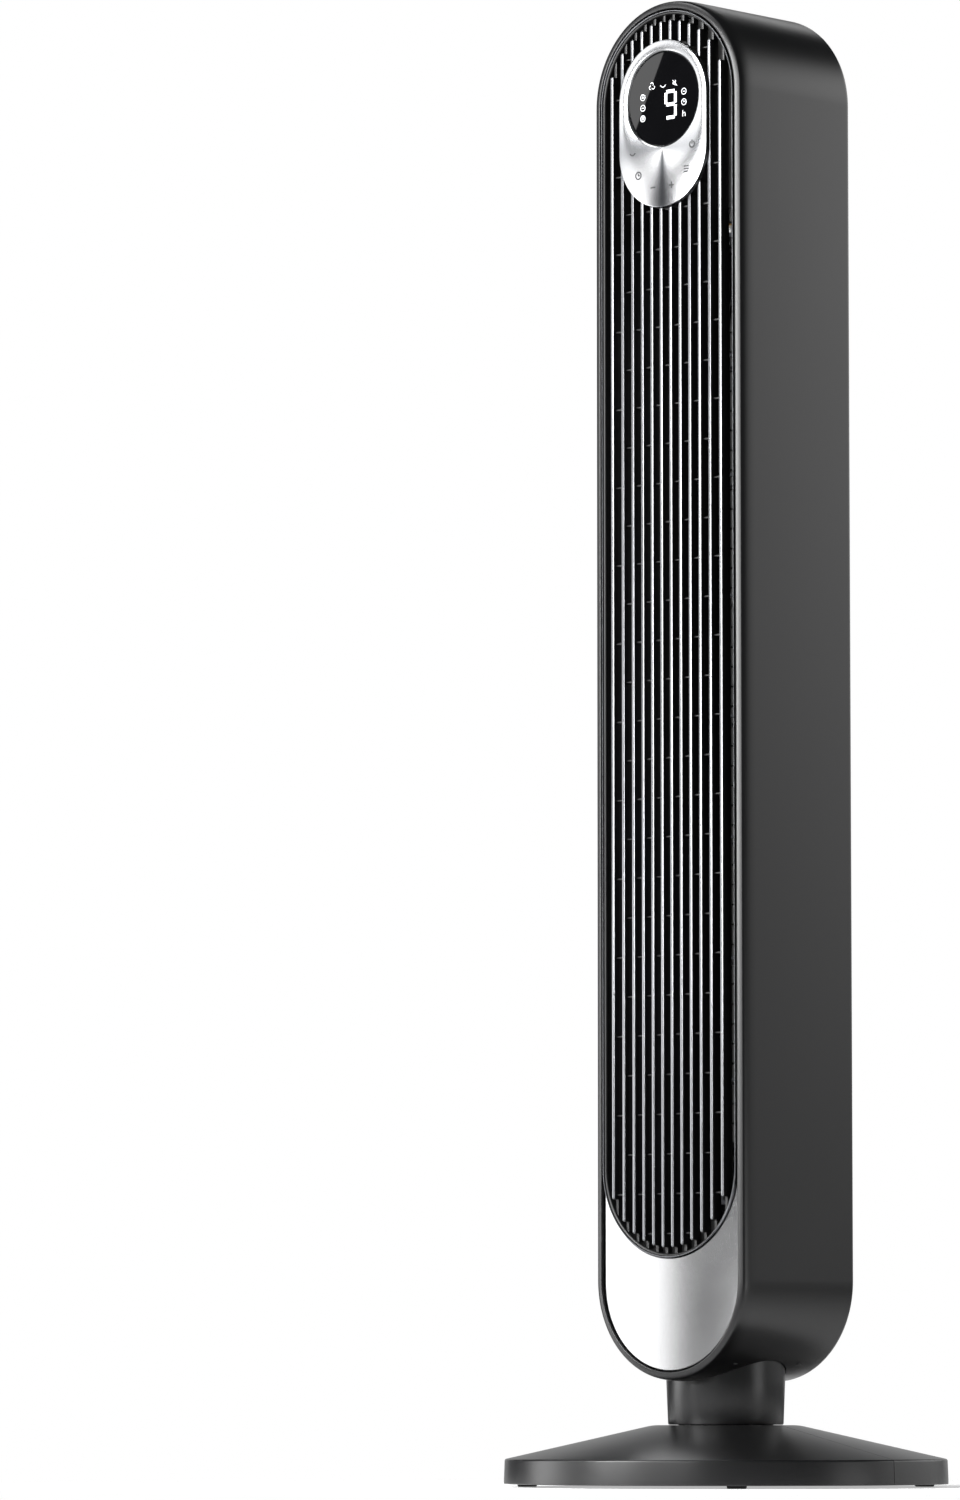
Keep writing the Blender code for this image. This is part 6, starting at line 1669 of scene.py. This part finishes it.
cover_section = [
    (COVER_HALF_WIDTH, COVER_INNER),
    (COVER_HALF_WIDTH, COVER_BACK - COVER_EDGE),
    (COVER_HALF_WIDTH - COVER_EDGE * 0.3, COVER_BACK - COVER_EDGE * 0.3),
    (COVER_HALF_WIDTH - COVER_EDGE, COVER_BACK),
]
plate = stadium(cover_section, HEAD_LOW_CENTRE, HEAD_HIGH_CENTRE)
window_section = [
    (INTAKE_HOLE, COVER_INNER - WINDOW_OVERRUN),
    (INTAKE_HOLE, COVER_BACK + WINDOW_OVERRUN),
]
plate = carved(plate, stadium(window_section, INTAKE_LOW_CENTRE, INTAKE_HIGH_CENTRE))
loops = []
for spread, y in (
    (HANDLE_INSIDE, COVER_INNER - DRILL_OVERRUN),
    (HANDLE_INSIDE, COVER_BACK - HANDLE_FLARE),
    (HANDLE_LIP, COVER_BACK - HANDLE_FLARE * 0.4),
    (HANDLE_FLARE * 0.6, COVER_BACK - HANDLE_LIP),
    (HANDLE_FLARE, COVER_BACK + DRILL_OVERRUN),
):
    width, height = HANDLE_HALF_WIDTH + spread, HANDLE_HALF_HEIGHT + spread
    loops.append(rounded_loop(width, height, HANDLE_CORNER + spread, y, HANDLE_CENTRE))
plate = carved(plate, bridged(loops))
SCREW_HOLE = 0.0022
screw_places = []
for index in range(4):
    low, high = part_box(f"rear_cover_screw_{index + 1}")
    screw_places.append(((low.x + high.x) / 2, high.y, (low.z + high.z) / 2))
for place in screw_places:
    profile = [
        (SCREW_HOLE, COVER_INNER - DRILL_OVERRUN),
        (SCREW_HOLE, COVER_BACK + DRILL_OVERRUN),
    ]
    plate = carved(plate, turned(profile, DRILL_SIDES, (place[0], 0, place[2]), "Y"))
cup_depth = cover_low.y
loops = []
for inset, y in (
    (-HANDLE_WALL, COVER_INNER + CUP_OVERLAP),
    (-HANDLE_WALL, cup_depth + CUP_CURVE),
    (-HANDLE_WALL + CUP_LEAD, cup_depth + CUP_LEAD),
    (-HANDLE_WALL + CUP_CURVE, cup_depth),
    (CUP_CURVE, cup_depth + HANDLE_WALL),
    (CUP_LEAD, cup_depth + HANDLE_WALL + CUP_LEAD),
    (0.0, cup_depth + HANDLE_WALL + CUP_CURVE),
    (0.0, COVER_INNER + CUP_OVERLAP),
):
    width, height = HANDLE_HALF_WIDTH - inset, HANDLE_HALF_HEIGHT - inset
    corner = max(HANDLE_CORNER - inset, CUP_CURVE)
    loops.append(rounded_loop(width, height, corner, y, HANDLE_CENTRE))
cup_shape = bmesh.new()
# Rows 0 to 3 are the cup's outside, rows 4 to 7 its inside; the rim joins the first and last.
rows = [[cup_shape.verts.new(point) for point in loop] for loop in loops]
for first, second in list(zip(rows[:4], rows[1:4])) + list(zip(rows[4:], rows[5:])):
    count = len(first)
    for index in range(count):
        after = (index + 1) % count
        cup_shape.faces.new((first[index], first[after], second[after], second[index]))
cup_shape.faces.new(rows[3])
cup_shape.faces.new(rows[4])
count = len(rows[0])
for index in range(count):
    after = (index + 1) % count
    cup_shape.faces.new((rows[-1][index], rows[-1][after], rows[0][after], rows[0][index]))
add_piece(
    "back_cover",
    gathered([plate, cup_shape]),
    satin_black_abs,
    "head",
    ["rear_cover"],
    sharp=40,
)

# ---------------------------------------------------------------- intake grille
# A lift-out grille in moulded black ABS with upright bars and cross bars behind them, held in
# the cover's frame by hooks at the top and one screw at the bottom.
INTAKE_RIM = 0.006
INTAKE_BACK = intake_high.y
BAR_PITCH = 0.0068
BAR_WIDTH = 0.0018
BAR_DEPTH = 0.0024
CROSS_PITCH = 0.0145
CROSS_HEIGHT = 0.0014
CROSS_DEPTH = 0.0016
BAR_SETBACK = 0.0002
FRAME_EASE = 0.0006
FRAME_LEAD = 0.0008
FRAME_SLOPE = 0.0010
BAR_OVERLAP = 0.002
BAR_ROUNDING = 0.0004
CROSS_ROUNDING = 0.0003
GRILLE_SCREW_OVERRUN = 0.003

outer = INTAKE_HALF_WIDTH
inner = outer - INTAKE_RIM
bar_middle = INTAKE_BACK - BAR_SETBACK - BAR_DEPTH / 2
frame_section = [
    (outer, COVER_INNER + BAR_SETBACK),
    (outer, INTAKE_BACK - FRAME_EASE),
    (outer - FRAME_EASE, INTAKE_BACK),
    (inner + FRAME_LEAD, INTAKE_BACK),
    (inner, INTAKE_BACK - FRAME_SLOPE),
    (inner, COVER_INNER + BAR_SETBACK),
]
shapes = [stadium(frame_section, INTAKE_LOW_CENTRE, INTAKE_HIGH_CENTRE, ring=True)]
screw_low, screw_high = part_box("rear_grille_screw")
grille_screw = (0.0, screw_high.y, (screw_low.z + screw_high.z) / 2)
upright_lines = []
BACK_WAY = (0, 1, 0)
reach_inside = inner + BAR_OVERLAP
steps = range(-int(inner / BAR_PITCH), int(inner / BAR_PITCH) + 1)
for step in steps:
    x = step * BAR_PITCH
    end = math.sqrt(reach_inside ** 2 - x ** 2)
    low, high = INTAKE_LOW_CENTRE - end, INTAKE_HIGH_CENTRE + end
    line = [((x, bar_middle, low), 1.0), ((x, bar_middle, high), 1.0)]
    upright_lines.append((line, BACK_WAY))
cross_lines = []
y = COVER_INNER + BAR_SETBACK + CROSS_DEPTH / 2
z = INTAKE_LOW_CENTRE - inner + CROSS_PITCH / 2
while z < INTAKE_HIGH_CENTRE + inner - CROSS_PITCH / 3:
    beyond = max(INTAKE_LOW_CENTRE - z, z - INTAKE_HIGH_CENTRE, 0)
    end = math.sqrt(reach_inside ** 2 - beyond ** 2)
    cross_lines.append(([((-end, y, z), 1.0), ((end, y, z), 1.0)], BACK_WAY))
    z += CROSS_PITCH
shapes.append(bars_along(upright_lines, BAR_WIDTH, BAR_DEPTH, BAR_ROUNDING, moulded_black_abs))
shapes.append(
    bars_along(cross_lines, CROSS_HEIGHT, CROSS_DEPTH, CROSS_ROUNDING, moulded_black_abs)
)
profile = [
    (SCREW_HOLE, COVER_INNER - GRILLE_SCREW_OVERRUN),
    (SCREW_HOLE, COVER_BACK + DRILL_OVERRUN),
]
tool = turned(profile, DRILL_SIDES, (0, 0, grille_screw[2]), "Y")
shapes[0] = carved(shapes[0], tool)
add_piece(
    "intake_grille",
    gathered(shapes),
    moulded_black_abs,
    "head",
    ["rear_grille"],
)
dress(moulded_black_abs, "intake_frame")

# ---------------------------------------------------------------- case screws
# Zinc plated pan-head self-tapping screws with a cross recess: four through the rear cover
# and one through the intake grille.
HEAD_STEPS = 32
screw_low, screw_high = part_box("rear_cover_screw_1")
SCREW_HEAD_RADIUS = (screw_high.x - screw_low.x) / 2
SCREW_LENGTH = screw_high.y - screw_low.y
SCREW_HEAD_HEIGHT = 0.0020
SCREW_BODY_RADIUS = 0.0014
CROSS_ARM = 0.0019
CROSS_SLOT = 0.00065
CROSS_RECESS = 0.0011
SCREW_POINT = 0.0003
POINT_LENGTH = 0.0018

profile = [
    (SCREW_POINT, -SCREW_LENGTH),
    (SCREW_BODY_RADIUS, -SCREW_LENGTH + POINT_LENGTH),
    (SCREW_BODY_RADIUS, -SCREW_HEAD_HEIGHT),
    (SCREW_HEAD_RADIUS, -SCREW_HEAD_HEIGHT),
    (SCREW_HEAD_RADIUS, -SCREW_HEAD_HEIGHT * 0.62),
    (SCREW_HEAD_RADIUS * 0.90, -SCREW_HEAD_HEIGHT * 0.28),
    (SCREW_HEAD_RADIUS * 0.68, -SCREW_HEAD_HEIGHT * 0.07),
    (SCREW_HEAD_RADIUS * 0.40, 0.0),
]
screw = turned(profile, HEAD_STEPS, direction="Y")
for wide, tall in ((CROSS_ARM, CROSS_SLOT), (CROSS_SLOT, CROSS_ARM)):
    cutter = block((-wide, -CROSS_RECESS, -tall), (wide, DRILL_OVERRUN, tall))
    screw = carved(screw, cutter)
template_mesh = bpy.data.meshes.new("screw_template")
bmesh.ops.recalc_face_normals(screw, faces=screw.faces)
screw.to_mesh(template_mesh)
screw.free()
template = bpy.data.objects.new("screw_template", template_mesh)
bpy.context.scene.collection.objects.link(template)

screw_tree = bpy.data.node_groups.new("screws_at_points", "GeometryNodeTree")
face = screw_tree.interface
face.new_socket("Places", in_out="INPUT", socket_type="NodeSocketGeometry")
face.new_socket("Screw", in_out="INPUT", socket_type="NodeSocketObject")
face.new_socket("Greatest Turn", in_out="INPUT", socket_type="NodeSocketFloat")
face.new_socket("Seed", in_out="INPUT", socket_type="NodeSocketInt")
face.new_socket("Material", in_out="INPUT", socket_type="NodeSocketMaterial")
face.new_socket("Screws", in_out="OUTPUT", socket_type="NodeSocketGeometry")
start = add_node(screw_tree, "NodeGroupInput")
master = add_node(screw_tree, "GeometryNodeObjectInfo", {"Object": start.outputs["Screw"]})
turn = add_node(
    screw_tree,
    "FunctionNodeRandomValue",
    {"Max": start.outputs["Greatest Turn"], "Seed": start.outputs["Seed"]},
    data_type="FLOAT",
)
rotation = add_node(screw_tree, "ShaderNodeCombineXYZ", {"Y": turn.outputs["Value"]})
placed = add_node(
    screw_tree,
    "GeometryNodeInstanceOnPoints",
    {
        "Points": start.outputs["Places"],
        "Instance": master.outputs["Geometry"],
        "Rotation": rotation.outputs["Vector"],
    },
)
real = add_node(
    screw_tree,
    "GeometryNodeRealizeInstances",
    {"Geometry": placed.outputs["Instances"]},
)
finished = add_node(
    screw_tree,
    "GeometryNodeSetMaterial",
    {"Geometry": real.outputs["Geometry"], "Material": start.outputs["Material"]},
)
add_node(screw_tree, "NodeGroupOutput", {"Screws": finished.outputs["Geometry"]})
places_mesh = bpy.data.meshes.new("screw_places")
places_mesh.from_pydata(screw_places + [grille_screw], [], [])
settings = {
    "Screw": template,
    "Greatest Turn": math.pi / 2,
    "Seed": 4,
    "Material": zinc_plated_steel,
}
shape = modified(places_mesh, screw_tree, settings)
bpy.data.meshes.remove(places_mesh)
bpy.data.objects.remove(template)
bpy.data.meshes.remove(template_mesh)
add_piece(
    "case_screws",
    shape,
    zinc_plated_steel,
    "head",
    [f"rear_cover_screw_{index + 1}" for index in range(4)] + ["rear_grille_screw"],
)

# ---------------------------------------------------------------- impeller
# A tall crossflow impeller in grey polypropylene: short drums of forward-curved blades stacked
# on thin discs, on a rubber hub over the motor's shaft and on a steel pin in a bronze bush.
impeller_low, impeller_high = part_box("impeller")
IMPELLER_RADIUS = (impeller_high.x - impeller_low.x) / 2
IMPELLER_Y = (impeller_low.y + impeller_high.y) / 2
hub_low, hub_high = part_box("impeller_hub")
pin_low, pin_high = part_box("impeller_top_pin")
HUB_RADIUS = (hub_high.x - hub_low.x) / 2
PIN_RADIUS = (pin_high.x - pin_low.x) / 2
BLADE_COUNT = 34
BLADE_CHORD = 0.0075
BLADE_THICKNESS = 0.0011
BLADE_LEAN = math.radians(16)
BLADE_INSET = 0.0050
DISC_COUNT = 9
DISC_THICKNESS = 0.0020
DISC_INNER = 0.0292
DISC_EDGE = 0.0002
DISC_SIDES = 72
BLADE_ROUNDING = 0.0004

first = impeller_low.z + DISC_THICKNESS
last = impeller_high.z - DISC_THICKNESS
blade_lines = []
for index in range(BLADE_COUNT):
    turn = 2 * math.pi * index / BLADE_COUNT
    radius = IMPELLER_RADIUS - BLADE_INSET
    x = radius * math.cos(turn)
    y = IMPELLER_Y + radius * math.sin(turn)
    facing = (math.cos(turn + BLADE_LEAN), math.sin(turn + BLADE_LEAN), 0)
    low, high = first - DISC_THICKNESS / 2, last + DISC_THICKNESS / 2
    blade_lines.append(([((x, y, low), 1.0), ((x, y, high), 1.0)], facing))
blades = bars_along(
    blade_lines, BLADE_THICKNESS, BLADE_CHORD, BLADE_ROUNDING, grey_polypropylene
)
shapes = [blades]
centre = (0, IMPELLER_Y, 0)
for index in range(DISC_COUNT):
    middle = first + (last - first) * index / (DISC_COUNT - 1)
    low, high = middle - DISC_THICKNESS / 2, middle + DISC_THICKNESS / 2
    if index == 0:
        low, inside = impeller_low.z, HUB_RADIUS
    elif index == DISC_COUNT - 1:
        high, inside = impeller_high.z, PIN_RADIUS
    else:
        inside = DISC_INNER
    profile = [
        (inside, low),
        (IMPELLER_RADIUS - DISC_EDGE, low),
        (IMPELLER_RADIUS, low + DISC_EDGE),
        (IMPELLER_RADIUS, high - DISC_EDGE),
        (IMPELLER_RADIUS - DISC_EDGE, high),
        (inside, high),
    ]
    shapes.append(turned(profile, DISC_SIDES, centre, ring=True))
add_piece(
    "crossflow_impeller",
    gathered(shapes),
    grey_polypropylene,
    "impeller",
    ["impeller"],
)
dress(black_rubber, "impeller_hub")
dress(ground_steel, "motor_shaft", "impeller_top_pin")

# ---------------------------------------------------------------- inside the head
# Bulkheads, volute and tongue in plain black ABS, the shaded-pole motor strapped in rubber
# over the lower bulkhead, the bronze bush on its rubber, the board and its loom.
dress(moulded_black_abs, "lower_bulkhead", "upper_bulkhead", "upper_baffle")
dress(moulded_black_abs, "duct_volute", "duct_tongue")
dress(sintered_bronze, "top_bearing_bush")
dress(black_rubber, "bearing_rubber", "motor_rubber_ring")
dress(galvanised_sheet, "impeller_motor", "motor_strap")
dress(zinc_plated_steel, "motor_strap_screw_1", "motor_strap_screw_2")
dress(zinc_plated_steel, *[f"turntable_screw_{index + 1}" for index in range(4)])
dress(green_board, "main_board")
dress(black_pvc, "display_loom")
